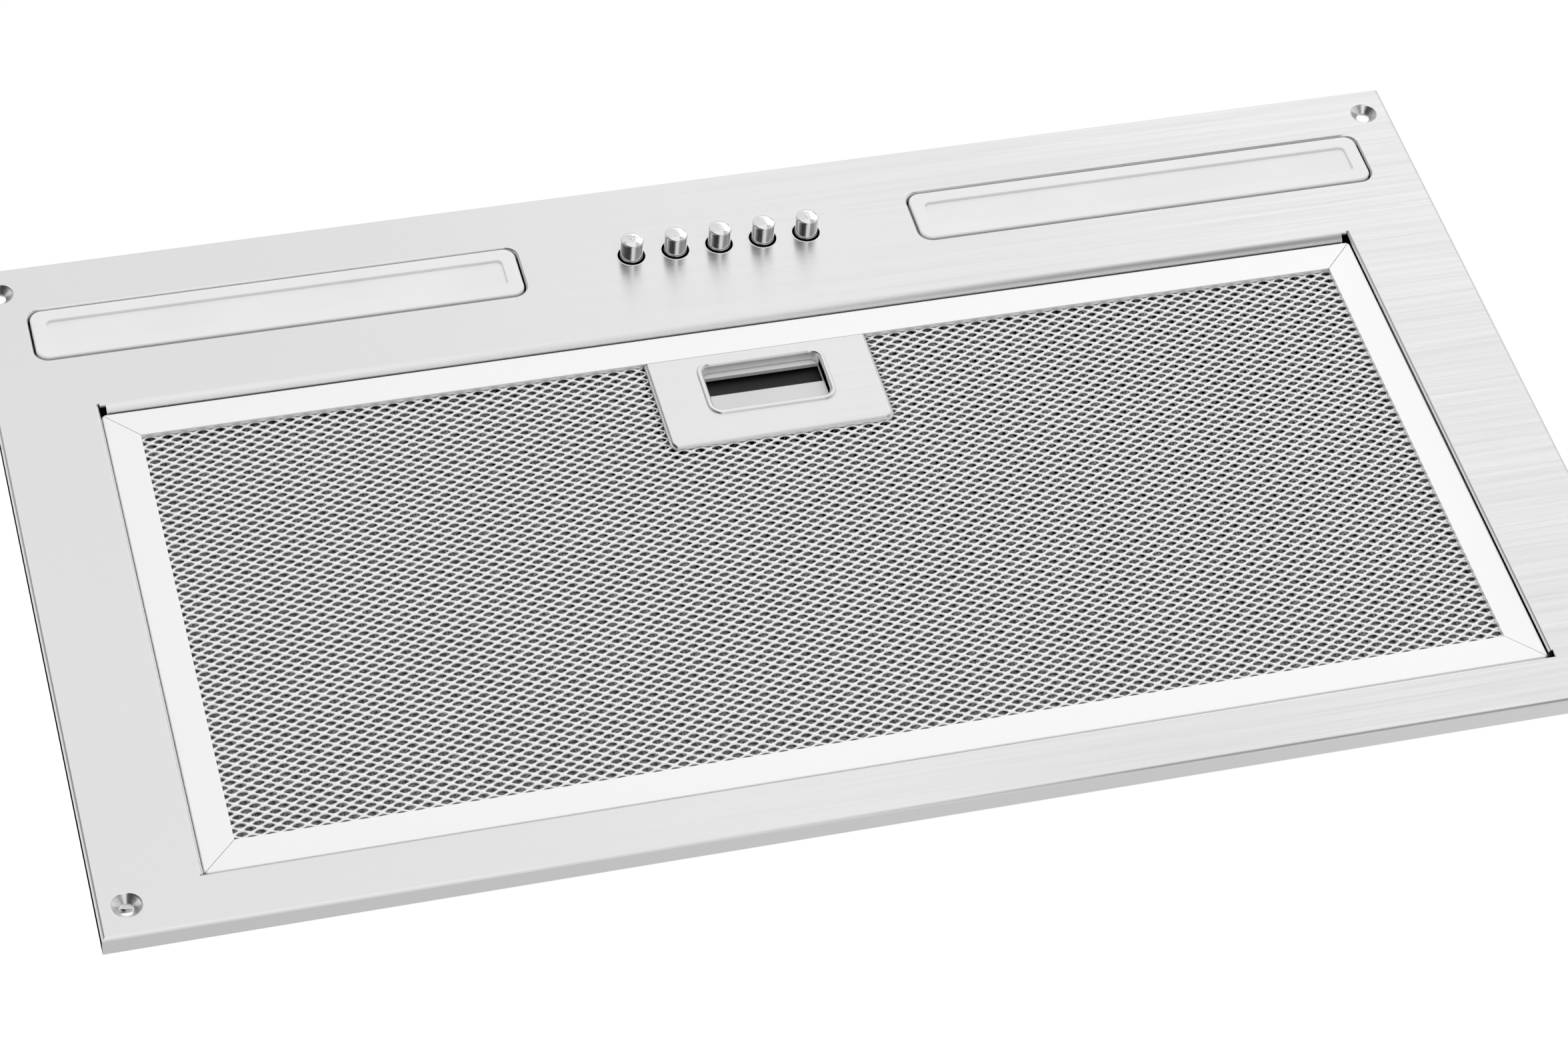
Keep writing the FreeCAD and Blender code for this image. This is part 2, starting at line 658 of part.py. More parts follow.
def housing_shell():
    """Front wall, top and sloping wall, folded from one sheet, with base flanges."""
    shell = bent_profile(body_outline(), -BODY_X, BODY_X, BODY_BEND)
    hollow = bent_profile(inner_outline(SHEET), -BODY_X - 1, BODY_X + 1, BODY_BEND - SHEET)
    shell = shell.cut(hollow)
    reach = BODY_X - BASE_END
    shell = shell.fuse(block(-reach, reach, BODY_Y0 - BASE_FLANGE, BODY_Y0 + SHEET, SHEET, 2 * SHEET))
    shell = shell.fuse(block(-reach, reach, BODY_Y1 - SHEET, BODY_Y1 + BASE_FLANGE, SHEET, 2 * SHEET))
    for x, y in stud_places():
        shell = shell.cut(rod(STUD_R + STUD_PLAY, V(x, y, 0), UP, 3 * SHEET))
    for seat, direction in end_screws():
        shell = shell.cut(screw_hole(seat, direction, 3))
    for x, y in hanger_places() + collar_screw_places():
        shell = shell.cut(screw_hole(V(x, y, BODY_H), DOWN, 3))
    shell = shell.cut(rod(SPIGOT_R + SPIGOT_PLAY, V(COLLAR_X, COLLAR_Y, BODY_H - 5), UP, 10))
    shell = shell.cut(rod(GLAND_R, V(BOX_X, BOX_Y + BOX_D / 4, BODY_H - 5), UP, 10))
    return shell.removeSplitter()


def housing_end(side):
    """An end plate with flanges turned in along the wrap and a base flange turned out."""
    x0, x1 = sorted((side * (BODY_X - END_FLANGE), side * BODY_X))
    pan = bent_profile(inner_outline(SHEET), x0, x1, BODY_BEND - SHEET)
    h0, h1 = sorted((side * (BODY_X - END_FLANGE - 1), side * (BODY_X - SHEET)))
    pan = pan.cut(bent_profile(inner_outline(2 * SHEET), h0, h1, 0.5 * SHEET))
    pan = pan.cut(block(-BODY_X - 1, BODY_X + 1, FRONT_Y, WALL_Y, -10, SHEET))
    pan = pan.cut(block(h0, h1, FRONT_Y, BODY_Y0 + 3 * SHEET, 0, END_FLANGE_UP))
    pan = pan.cut(block(h0, h1, BODY_Y1 - 3 * SHEET, WALL_Y, 0, END_FLANGE_UP / 2))
    f0, f1 = sorted((side * (BODY_X - SHEET), side * (BODY_X + BASE_FLANGE)))
    pan = pan.fuse(block(f0, f1, BODY_Y0 + SIDE_END, BODY_Y1 - SIDE_END, SHEET, 2 * SHEET))
    for x, y in stud_places():
        pan = pan.cut(rod(STUD_R + STUD_PLAY, V(x, y, 0), UP, 3 * SHEET))
    for seat, direction in end_screws():
        pan = pan.cut(screw_hole(seat, direction, 3))
    return pan.removeSplitter()


def housing_screws():
    return [screw(seat, direction, END_SCREW_L) for seat, direction in end_screws()]


def filter_frame():
    """The four rails in one piece: outer wall, both lips and the folded inner edge."""
    mid = (FILTER_Y0 + FILTER_Y1) / 2
    depth = FILTER_Y1 - FILTER_Y0
    body = plate(OPEN_MID, mid, 2 * FILTER_X, depth, RAIL_CORNER_R, FILTER_RECESS, FILTER_TOP)
    body = body.makeFillet(RAIL_T * 0.75, edges_level(body, FILTER_RECESS))
    hollow = plate(OPEN_MID, mid, 2 * (FILTER_X - RAIL_T), depth - 2 * RAIL_T, RAIL_CORNER_R - RAIL_T,
                   FILTER_RECESS + RAIL_T, PACK_TOP)
    window = plate(OPEN_MID, mid, 2 * (FILTER_X - RAIL_W), depth - 2 * RAIL_W, 0, 0, FILTER_TOP + 1)
    hem = plate(OPEN_MID, mid, 2 * (FILTER_X - RAIL_W + RAIL_T), depth - 2 * RAIL_W + 2 * RAIL_T, 0,
                FILTER_RECESS + RAIL_T / 2, HEM_TOP)
    frame = body.cut(hollow).fuse(hem).cut(window)
    half = HANDLE_W / 2 + HANDLE_GAP
    frame = frame.cut(block(-half, half, RAIL_IN_Y - RAIL_T, RAIL_IN_Y, FILTER_RECESS + RAIL_T, HEM_TOP + 1))
    slot = TONGUE_W / 2 + TONGUE_PLAY
    frame = frame.cut(block(-slot, slot, FILTER_Y0 - 1, FILTER_Y0 + RAIL_T + MESH_GAP,
                            SLIDER_Z - TONGUE_PLAY, SLIDER_Z + SLIDER_T + TONGUE_PLAY))
    for side in (-1, 1):
        start = OPEN_MID + side * (FILTER_X - 2)
        frame = frame.cut(rod(PIVOT_R, V(start, PIVOT_Y, PIVOT_Z), V(side, 0, 0), 4))
    return frame.removeSplitter()


def filter_rails():
    """The frame cut into rails with mitred ends."""
    frame = filter_frame()
    gap = MITRE_GAP / 2
    reach = RAIL_W + 3
    x = FILTER_X + 1
    y0 = FILTER_Y0 - 1
    y1 = FILTER_Y1 + 1
    long_gap = gap * math.sqrt(2)
    front = [(-x + long_gap, y0), (x - long_gap, y0), (x - long_gap - reach, y0 + reach),
             (-x + long_gap + reach, y0 + reach)]
    back = [(px, y0 + y1 - py) for px, py in front]
    left = [(-x, y0 + long_gap), (-x, y1 - long_gap), (-x + reach, y1 - long_gap - reach),
            (-x + reach, y0 + long_gap + reach)]
    right = [(-px, py) for px, py in left]
    rails = {}
    for name, outline in (("front", front), ("back", back), ("left", left), ("right", right)):
        placed = [(OPEN_MID + px, py) for px, py in outline]
        rails["filter_rail_" + name] = frame.common(prism(placed, 0, FILTER_TOP + 1))
    return rails


def pack_space(z0, z1):
    """One layer of the mesh pack, clear of the latch case and the corner keys."""
    x = FILTER_X - RAIL_T - MESH_GAP
    y0 = FILTER_Y0 + RAIL_T + MESH_GAP
    y1 = FILTER_Y1 - RAIL_T - MESH_GAP
    layer = block(OPEN_MID - x, OPEN_MID + x, y0, y1, z0, z1)
    half = CASE_W / 2 + CASE_PLAY
    layer = layer.cut(block(-half, half, y0 - 1, CASE_Y1 + CASE_PLAY, z0 - 1, z1 + 1))
    for side in (-1, 1):
        k0, k1 = sorted((side * (x - KEY_SIZE - KEY_PLAY), side * (x + 1)))
        layer = layer.cut(block(OPEN_MID + k0, OPEN_MID + k1, y1 - KEY_SIZE - KEY_PLAY, y1 + 1, z0 - 1, z1 + 1))
    return layer


def mesh_sheet(z0, shift):
    """A sheet of expanded metal, drawn here with a plain lattice of diamond gaps."""
    sheet = pack_space(z0, z0 + MESH_T)
    wide = 2 * (FILTER_X - RAIL_W)
    deep = FILTER_Y1 - FILTER_Y0 - 2 * RAIL_W
    pitch_x = wide / MESH_COLS
    pitch_y = deep / MESH_ROWS
    half_x = (pitch_x - MESH_STRAND) / 2
    half_y = (pitch_y - MESH_STRAND) / 2
    cutters = []
    for row in range(MESH_ROWS):
        y = FILTER_Y0 + RAIL_W + pitch_y * (row + 0.5)
        for col in range(MESH_COLS - (1 if shift else 0)):
            x = OPEN_MID - wide / 2 + pitch_x * (col + 0.5 + shift)
            near_case = abs(x) < CASE_W / 2 + half_x + MESH_STRAND and y < CASE_Y1 + half_y + MESH_STRAND
            if near_case:
                continue
            diamond = [(x - half_x, y), (x, y - half_y), (x + half_x, y), (x, y + half_y)]
            cutters.append(prism(diamond, z0 - 1, z0 + MESH_T + 1))
    return sheet.cut(group(cutters))


def mesh_core():
    """The sheets between the outer and the inner one, evenly spaced."""
    step = (PACK_TOP - HEM_TOP - MESH_T) / (MESH_CORE + 1)
    return group([mesh_sheet(HEM_TOP + step * (i + 1), 0.5 * ((i + 1) % 2)) for i in range(MESH_CORE)])


def filter_pivots():
    """Corner keys inside the rails at the wall side, each with its pivot pin."""
    x = FILTER_X - RAIL_T - MESH_GAP
    y1 = FILTER_Y1 - RAIL_T - MESH_GAP
    inner = x - KEY_SIZE
    hem = FILTER_X - RAIL_W + RAIL_T
    keys = []
    for side in (-1, 1):
        k0, k1 = sorted((side * inner, side * x))
        key = block(k0, k1, y1 - KEY_SIZE, y1, FILTER_RECESS + RAIL_T, PACK_TOP)
        if hem > inner:
            hem0, hem1 = sorted((side * (inner - 1), side * hem))
            key = key.cut(block(hem0, hem1, y1 - KEY_SIZE - 1, y1, 0, HEM_TOP))
        length = OPEN_X + SHEET + PIVOT_REACH - x + KEY_SIZE / 2
        pin = rod(PIVOT_R, V(side * (x - KEY_SIZE / 2), PIVOT_Y, PIVOT_Z), V(side, 0, 0), length)
        key = key.fuse(pin).removeSplitter()
        key.translate(V(OPEN_MID, 0, 0))
        keys.append(key)
    return group(keys)


def handle_plate():
    """The handle plate: turned-back edges, a window with a raised bead and a rolled wall."""
    z0 = FILTER_RECESS
    mid = (HANDLE_Y0 + HANDLE_Y1) / 2
    outer = block(-HANDLE_W / 2, HANDLE_W / 2, HANDLE_Y0, HANDLE_Y1, z0, HEM_TOP)
    back = [e for e in upright_edges(outer) if e.BoundBox.YMin > mid]
    outer = outer.makeFillet(HANDLE_CORNER_R, back)
    outer = outer.makeFillet(HANDLE_EDGE_R, [e for e in edges_level(outer, z0) if e.BoundBox.YMax > HANDLE_Y0 + 1])
    inner = block(-HANDLE_W / 2 + RAIL_T, HANDLE_W / 2 - RAIL_T, HANDLE_Y0 - 1, HANDLE_Y1 - RAIL_T,
                  z0 + RAIL_T, HEM_TOP + 1)
    inner_back = [e for e in upright_edges(inner) if e.BoundBox.YMin > mid]
    inner = inner.makeFillet(HANDLE_CORNER_R - RAIL_T, inner_back)
    shape = outer.cut(inner)
    tab = block(-CASE_W / 2, CASE_W / 2, HANDLE_Y0 - HANDLE_TAB, HANDLE_Y0 + 2, z0 + RAIL_T, z0 + 2 * RAIL_T)
    shape = shape.fuse(tab)
    bead = plate(0, WINDOW_Y, WINDOW_W + 2 * BEAD_W, WINDOW_D + 2 * BEAD_W, WINDOW_R + BEAD_W,
                 z0 - BEAD_H, z0 + RAIL_T)
    bead = bead.makeFillet(BEAD_H * 0.85, edges_level(bead, z0 - BEAD_H))
    wall = plate(0, WINDOW_Y, WINDOW_W + 2 * RAIL_T, WINDOW_D + 2 * RAIL_T, WINDOW_R + RAIL_T,
                 z0, z0 + WINDOW_DEPTH)
    shape = shape.fuse(bead).fuse(wall)
    shape = shape.cut(plate(0, WINDOW_Y, WINDOW_W, WINDOW_D, WINDOW_R, z0 - 2, z0 + WINDOW_DEPTH + 1))
    shape = shape.removeSplitter()
    rim = edges_inside(edges_level(shape, z0 - BEAD_H), -WINDOW_W / 2, WINDOW_W / 2,
                       WINDOW_Y - WINDOW_D / 2, WINDOW_Y + WINDOW_D / 2)
    return shape.makeFillet(BEAD_W * 0.5, rim)


def grip_edge():
    """The finger edge of the latch slider, at rest."""
    return WINDOW_Y - WINDOW_D / 2 + GRIP_IN


def latch_case():
    """A tray behind the handle plate that guides the latch slider."""
    z0 = FILTER_RECESS + 2 * RAIL_T
    half = CASE_W / 2
    case = block(-half, half, CASE_Y0, CASE_Y1, z0, PACK_TOP)
    case = case.cut(block(-half + CASE_WALL, half - CASE_WALL, CASE_Y0 + CASE_WALL, CASE_Y1 - CASE_WALL,
                          z0 - 1, PACK_TOP - CASE_WALL))
    slot = TONGUE_W / 2 + TONGUE_PLAY
    case = case.cut(block(-slot, slot, CASE_Y0 - 1, CASE_Y0 + CASE_WALL + 1,
                          SLIDER_Z - TONGUE_PLAY, SLIDER_Z + SLIDER_T + TONGUE_PLAY))
    for side in (-1, 1):
        r0, r1 = sorted((side * (SLIDER_W / 2 - CASE_RAIL_LAP), side * (half - CASE_WALL)))
        rail = block(r0, r1, CASE_Y0 + CASE_WALL, CASE_Y1 - CASE_WALL, SLIDER_Z + SLIDER_T + SLIDER_GAP,
                     PACK_TOP - CASE_WALL)
        case = case.fuse(rail)
    return case.removeSplitter()


def latch_slider():
    """Finger plate, the bar in front of its gap and the tongue, in one piece."""
    edge = grip_edge()
    back = edge + SLIDER_BACK
    front = edge - FINGER_GAP - SLIDER_BAR
    z0 = SLIDER_Z
    z1 = SLIDER_Z + SLIDER_T
    slider = block(-SLIDER_W / 2, SLIDER_W / 2, front, back, z0, z1)
    slider = slider.cut(block(-WINDOW_W / 2, WINDOW_W / 2, edge - FINGER_GAP, edge, z0 - 1, z1 + 1))
    tip = OPEN_Y0 + TONGUE_SHORT
    slider = slider.fuse(block(-TONGUE_W / 2, TONGUE_W / 2, tip, front + 1, z0, z1)).removeSplitter()
    grip = [e for e in edges_level(slider, z0) if abs(e.BoundBox.YMin - edge) < 1e-6
            and abs(e.BoundBox.YMax - edge) < 1e-6]
    slider = slider.makeFillet(SLIDER_T * 0.6, grip)
    return slider


def latch_spring():
    """A compression spring between the slider and the back of its case."""
    start = grip_edge() + SLIDER_BACK
    length = CASE_Y1 - CASE_WALL - start
    z = SLIDER_Z + LATCH_SPRING_R + SPRING_WIRE / 2 - LATCH_SPRING_DROP
    return coil(V(0, start, z), V(0, 1, 0), LATCH_SPRING_R, SPRING_WIRE, length, LATCH_SPRING_TURNS)


def lamp_bezel(side):
    cx = side * LAMP_X
    width = LAMP_OPEN_W - 2 * LAMP_GAP
    depth = LAMP_OPEN_D - 2 * LAMP_GAP
    z0 = -LAMP_PROUD
    z1 = z0 + BEZEL_H
    body = plate(cx, CONTROL_Y, width, depth, LAMP_CORNER_R - LAMP_GAP, z0, z1)
    body = body.makeFillet(BEZEL_EDGE_R, edges_level(body, z0))
    body = body.cut(plate(cx, CONTROL_Y, LAMP_WINDOW_W, LAMP_WINDOW_D, LAMP_WINDOW_R, z0 - 1, z1 + 1))
    rim = edges_inside(edges_level(body, z0), cx - LAMP_WINDOW_W / 2, cx + LAMP_WINDOW_W / 2,
                       CONTROL_Y - LAMP_WINDOW_D / 2, CONTROL_Y + LAMP_WINDOW_D / 2)
    body = body.makeFillet(BEZEL_EDGE_R / 2, rim)
    rebate = plate(cx, CONTROL_Y, LAMP_WINDOW_W + 2 * LENS_STEP, LAMP_WINDOW_D + 2 * LENS_STEP,
                   LAMP_WINDOW_R + LENS_STEP, z0 + LENS_IN, z1 + 1)
    return body.cut(rebate)


def lamp_lens(side):
    z0 = -LAMP_PROUD + LENS_IN
    return plate(side * LAMP_X, CONTROL_Y, LAMP_WINDOW_W + 2 * LENS_STEP, LAMP_WINDOW_D + 2 * LENS_STEP,
                 LAMP_WINDOW_R + LENS_STEP, z0, z0 + LENS_T)


def lamp_tray(side):
    """The open aluminium back that seats on the bezel."""
    cx = side * LAMP_X
    width = LAMP_OPEN_W - 2 * LAMP_GAP
    depth = LAMP_OPEN_D - 2 * LAMP_GAP
    z0 = BEZEL_H - LAMP_PROUD
    radius = LAMP_CORNER_R - LAMP_GAP
    body = plate(cx, CONTROL_Y, width, depth, radius, z0, z0 + TRAY_H)
    hollow = plate(cx, CONTROL_Y, width - 2 * TRAY_T, depth - 2 * TRAY_T, radius - TRAY_T,
                   z0 - 1, z0 + TRAY_H - TRAY_T)
    return body.cut(hollow)


def lamp_led_board(side):
    """The board on the tray's floor, with its row of light-emitting diodes."""
    cx = side * LAMP_X
    top = BEZEL_H - LAMP_PROUD + TRAY_H - TRAY_T
    low = top - BOARD_T
    board = block(cx - BOARD_W / 2, cx + BOARD_W / 2, CONTROL_Y - BOARD_D / 2, CONTROL_Y + BOARD_D / 2, low, top)
    pitch = BOARD_W / LED_COUNT
    half = LED_SIZE / 2
    for i in range(LED_COUNT):
        x = cx + pitch * (i - (LED_COUNT - 1) / 2)
        board = board.fuse(block(x - half, x + half, CONTROL_Y - half, CONTROL_Y + half, low - LED_H, low))
    return board


def lamp_clip(cx, y, side):
    """A leaf that hooks over the rolled edge of the lamp's opening."""
    low = LAMP_LIP + CLIP_PLAY
    knee = LAMP_LIP + CLIP_KNEE
    foot = BEZEL_H + CLIP_FOOT
    top = BEZEL_H + TRAY_H - CLIP_SHORT
    outer = [(0, top), (0, foot), (CLIP_OUT - CLIP_T, knee), (CLIP_PLAY, low), (CLIP_PLAY + CLIP_T, low),
             (CLIP_OUT + CLIP_PLAY, knee), (CLIP_T, foot), (CLIP_T, top)]
    points = [(y + side * out, z) for out, z in outer]
    return profile(points, cx - CLIP_W / 2, cx + CLIP_W / 2)


def lamp_clips():
    half = LAMP_OPEN_D / 2 - LAMP_GAP
    clips = []
    for lamp in (-1, 1):
        for x in (-CLIP_X, CLIP_X):
            for side in (-1, 1):
                clips.append(lamp_clip(lamp * LAMP_X + x, CONTROL_Y + side * half, side))
    return group(clips)


def button(x):
    """Cap and stem in one piece; the cap's outer edge is rounded."""
    cap = rod(BUTTON_R, V(x, CONTROL_Y, -BUTTON_PROUD), UP, BUTTON_PROUD + BUTTON_SHOULDER)
    cap = cap.makeFillet(BUTTON_EDGE_R, edges_level(cap, -BUTTON_PROUD))
    return cap.fuse(rod(STEM_R, V(x, CONTROL_Y, BUTTON_SHOULDER), UP, STEM_H)).removeSplitter()


def button_spring(x):
    """The spring round a button's stem, from its shoulder to the switch."""
    length = SWITCH_UP - BUTTON_SHOULDER
    return coil(V(x, CONTROL_Y, BUTTON_SHOULDER), UP, SPRING_R, SPRING_WIRE, length, SPRING_TURNS)


def switch_half():
    return button_places()[-1] + SWITCH_END


def switch_screw_seats():
    x = switch_half() + BRACKET_T
    z = SWITCH_UP + SWITCH_H / 2
    reach = SWITCH_D / 4
    return [(V(side * x, CONTROL_Y + y, z), V(-side, 0, 0)) for side in (-1, 1) for y in (-reach, reach)]


def switch_body():
    """The switch bank, with a blind bore for each button's stem."""
    half = switch_half()
    body = plate(0, CONTROL_Y, 2 * half, SWITCH_D, 0, SWITCH_UP, SWITCH_UP + SWITCH_H)
    body = body.makeFillet(SWITCH_EDGE_R, edges_level(body, SWITCH_UP + SWITCH_H))
    depth = BUTTON_SHOULDER + STEM_H + BUTTON_TRAVEL + 1 - SWITCH_UP
    for x in button_places():
        body = body.cut(rod(STEM_R + STEM_PLAY, V(x, CONTROL_Y, SWITCH_UP - 1), UP, depth + 1))
    for seat, direction in switch_screw_seats():
        body = body.cut(screw_hole(seat, direction, SWITCH_SCREW_L + 1))
    return body


def switch_terminals():
    """Blade terminals on top of the switch bank."""
    top = SWITCH_UP + SWITCH_H
    step = 2 * button_places()[-1] / (BLADE_COUNT - 1)
    blades = []
    for i in range(BLADE_COUNT):
        x = step * (i - (BLADE_COUNT - 1) / 2)
        blades.append(plate(x, CONTROL_Y, BLADE_W, BLADE_T, 0, top, top + BLADE_H))
    return group(blades)


def switch_bracket():
    """A steel cradle: a base with guide holes, two cheeks and two feet."""
    inner = switch_half()
    outer = inner + BRACKET_T
    z0 = SHEET
    z1 = SHEET + BRACKET_T
    top = SWITCH_UP + SWITCH_H - CHEEK_SHORT
    half = BRACKET_D / 2
    bracket = block(-outer - BRACKET_FOOT, outer + BRACKET_FOOT, CONTROL_Y - half, CONTROL_Y + half, z0, z1)
    for side in (-1, 1):
        c0, c1 = sorted((side * inner, side * outer))
        bracket = bracket.fuse(block(c0, c1, CONTROL_Y - SWITCH_D / 2, CONTROL_Y + SWITCH_D / 2, z0, top))
    for x in button_places():
        bracket = bracket.cut(rod(BUTTON_R + GUIDE_PLAY, V(x, CONTROL_Y, 0), UP, 3))
    for x, y in bracket_stud_places():
        bracket = bracket.cut(rod(STUD_R + STUD_PLAY, V(x, y, 0), UP, 3))
    for seat, direction in switch_screw_seats():
        bracket = bracket.cut(screw_hole(seat, direction, 2))
    return bracket.removeSplitter()


def switch_screws():
    return [screw(seat, direction, SWITCH_SCREW_L) for seat, direction in switch_screw_seats()]


def arc_edge(cx, cy, radius, start, end, z):
    """An arc by its middle, radius and two angles in degrees."""
    marks = []
    for angle in (start, (start + end) / 2, end):
        turn = math.radians(angle)
        marks.append(V(cx + radius * math.cos(turn), cy + radius * math.sin(turn), z))
    return Part.Arc(*marks).toShape()


def line_edges(points, z):
    marks = [V(x, y, z) for x, y in points]
    return [Part.LineSegment(a, b).toShape() for a, b in zip(marks, marks[1:])]


def scroll_wire(z):
    """The inside of the scroll: a spiral of three quarters, the duct and the outlet box."""
    cx = BLOWER_X
    cy = BLOWER_Y
    r1 = SCROLL_R
    r2 = r1 + SCROLL_STEP
    r3 = r2 + SCROLL_STEP
    box_x1 = OUTBOX_X + OUTBOX_W
    box_y1 = DUCT_Y0 + OUTBOX_D
    lip_x = cx + r1
    edges = [arc_edge(cx, cy, r1, 0, 90, z)]
    edges += [arc_edge(cx, cy - SCROLL_STEP, r2, 90, 180, z)]
    edges += [arc_edge(cx + SCROLL_STEP, cy - SCROLL_STEP, r3, 180, 270, z)]
    edges += line_edges([(cx + SCROLL_STEP, DUCT_Y0), (box_x1, DUCT_Y0), (box_x1, box_y1), (OUTBOX_X, box_y1),
                         (OUTBOX_X, DUCT_Y1), (lip_x + TONGUE_R, DUCT_Y1)], z)
    edges += [arc_edge(lip_x + TONGUE_R, DUCT_Y1 + TONGUE_R, TONGUE_R, 270, 180, z)]
    edges += line_edges([(lip_x, DUCT_Y1 + TONGUE_R), (lip_x, cy)], z)
    return Part.Wire(edges)


def scroll_solid(grow, z0, z1):
    wire = scroll_wire(z0)
    if grow > 0:
        wire = wire.makeOffset2D(grow)
    return Part.Face(wire).extrude(V(0, 0, z1 - z0))


def motor_screw_places():
    places = []
    for i in range(EAR_COUNT):
        turn = math.radians(90 + 360 * i / EAR_COUNT)
        places.append((BLOWER_X + EAR_R * math.cos(turn), BLOWER_Y + EAR_R * math.sin(turn)))
    return places


def scroll_lower():
    """The inlet half of the scroll, with its rounded inlet lip."""
    half = scroll_solid(SCROLL_T, SCROLL_LOW, SEAM_Z).fuse(scroll_solid(SCROLL_T + SEAM_W, SEAM_Z - SEAM_H, SEAM_Z))
    half = half.cut(scroll_solid(0, SCROLL_LOW + SCROLL_T, SEAM_Z + 1))
    lip = rod(INLET_R + SCROLL_T, V(BLOWER_X, BLOWER_Y, SCROLL_LOW), UP, SCROLL_T + INLET_LIP)
    half = half.fuse(lip).cut(rod(INLET_R, V(BLOWER_X, BLOWER_Y, SCROLL_LOW - 1), UP, SCROLL_T + INLET_LIP + 2))
    half = half.removeSplitter()
    rim = edges_inside(edges_level(half, SCROLL_LOW), BLOWER_X - INLET_R, BLOWER_X + INLET_R,
                       BLOWER_Y - INLET_R, BLOWER_Y + INLET_R)
    return half.makeFillet(SCROLL_T * 0.9, rim)


def scroll_upper():
    """The motor half of the scroll, with the round outlet spigot."""
    half = scroll_solid(SCROLL_T, SEAM_Z, SCROLL_TOP).fuse(scroll_solid(SCROLL_T + SEAM_W, SEAM_Z, SEAM_Z + SEAM_H))
    half = half.cut(scroll_solid(0, SEAM_Z - 1, SCROLL_TOP - SCROLL_T))
    top = BODY_H - SCROLL_TOP
    half = half.fuse(rod(SPIGOT_R, V(COLLAR_X, COLLAR_Y, SCROLL_TOP - SCROLL_T), UP, top + SCROLL_T))
    half = half.cut(rod(SPIGOT_R - SPIGOT_T, V(COLLAR_X, COLLAR_Y, SCROLL_TOP - SCROLL_T - 1), UP, top + 9))
    half = half.cut(rod(MOTOR_R + MOTOR_HOLE_PLAY, V(BLOWER_X, BLOWER_Y, SCROLL_TOP - 5), UP, 9))
    for x, y in motor_screw_places():
        half = half.cut(screw_hole(V(x, y, SCROLL_TOP), DOWN, 2))
    for x, y in hanger_places():
        half = half.cut(screw_hole(V(x, y, SCROLL_TOP), DOWN, 2))
    return half.removeSplitter()


def scroll_clips():
    """Spring clips that hold the two halves together at the seam."""
    reach = SCROLL_T + SEAM_W
    low = SEAM_Z - SEAM_H
    high = SEAM_Z + SEAM_H
    clips = []
    places = [
        (BLOWER_X, BLOWER_Y + SCROLL_R, 90),
        (BLOWER_X - SCROLL_R - SCROLL_STEP, BLOWER_Y - SCROLL_STEP, 180),
        (OUTBOX_X + OUTBOX_W, COLLAR_Y, 0),
        (OUTBOX_X + OUTBOX_W / 2, DUCT_Y0 + OUTBOX_D, 90),
    ]
    for x, y, angle in places:
        half = SEAM_CLIP_W / 2
        outer = block(SCROLL_T + SEAM_CLIP_PLAY, reach + SEAM_CLIP_T, -half, half, low - 1, high + 1)
        clip = outer.cut(block(0, reach + 0.05, -half - 1, half + 1, low, high))
        clip.rotate(V(0, 0, 0), UP, angle)
        clip.translate(V(x, y, 0))
        clips.append(clip)
    return group(clips)


def inlet_guard():
    """A round finger guard under the inlet, on three feet."""
    z1 = SCROLL_LOW - GUARD_DROP
    z0 = z1 - GUARD_H
    middle = V(BLOWER_X, BLOWER_Y, z0)
    rim = INLET_R + GUARD_OUT
    step = rim / GUARD_RINGS
    guard = rod(GUARD_BAR * 2, middle, UP, GUARD_H)
    for i in range(GUARD_RINGS):
        radius = step * (i + 1)
        guard = guard.fuse(tube(radius, radius - GUARD_BAR, middle, UP, GUARD_H))
    for i in range(GUARD_SPOKES):
        spoke = block(0, rim - GUARD_BAR / 2, -GUARD_BAR / 2, GUARD_BAR / 2, z0, z1)
        spoke.rotate(V(0, 0, 0), UP, 360 * i / GUARD_SPOKES)
        spoke.translate(V(BLOWER_X, BLOWER_Y, 0))
        guard = guard.fuse(spoke)
    for i in range(GUARD_FEET):
        turn = math.radians(360 * (i + 0.25) / GUARD_FEET)
        reach = rim - GUARD_BAR / 2
        foot = V(BLOWER_X + reach * math.cos(turn), BLOWER_Y + reach * math.sin(turn), z0)
        guard = guard.fuse(rod(GUARD_BAR, foot, UP, GUARD_H + GUARD_DROP))
    return guard.removeSplitter()


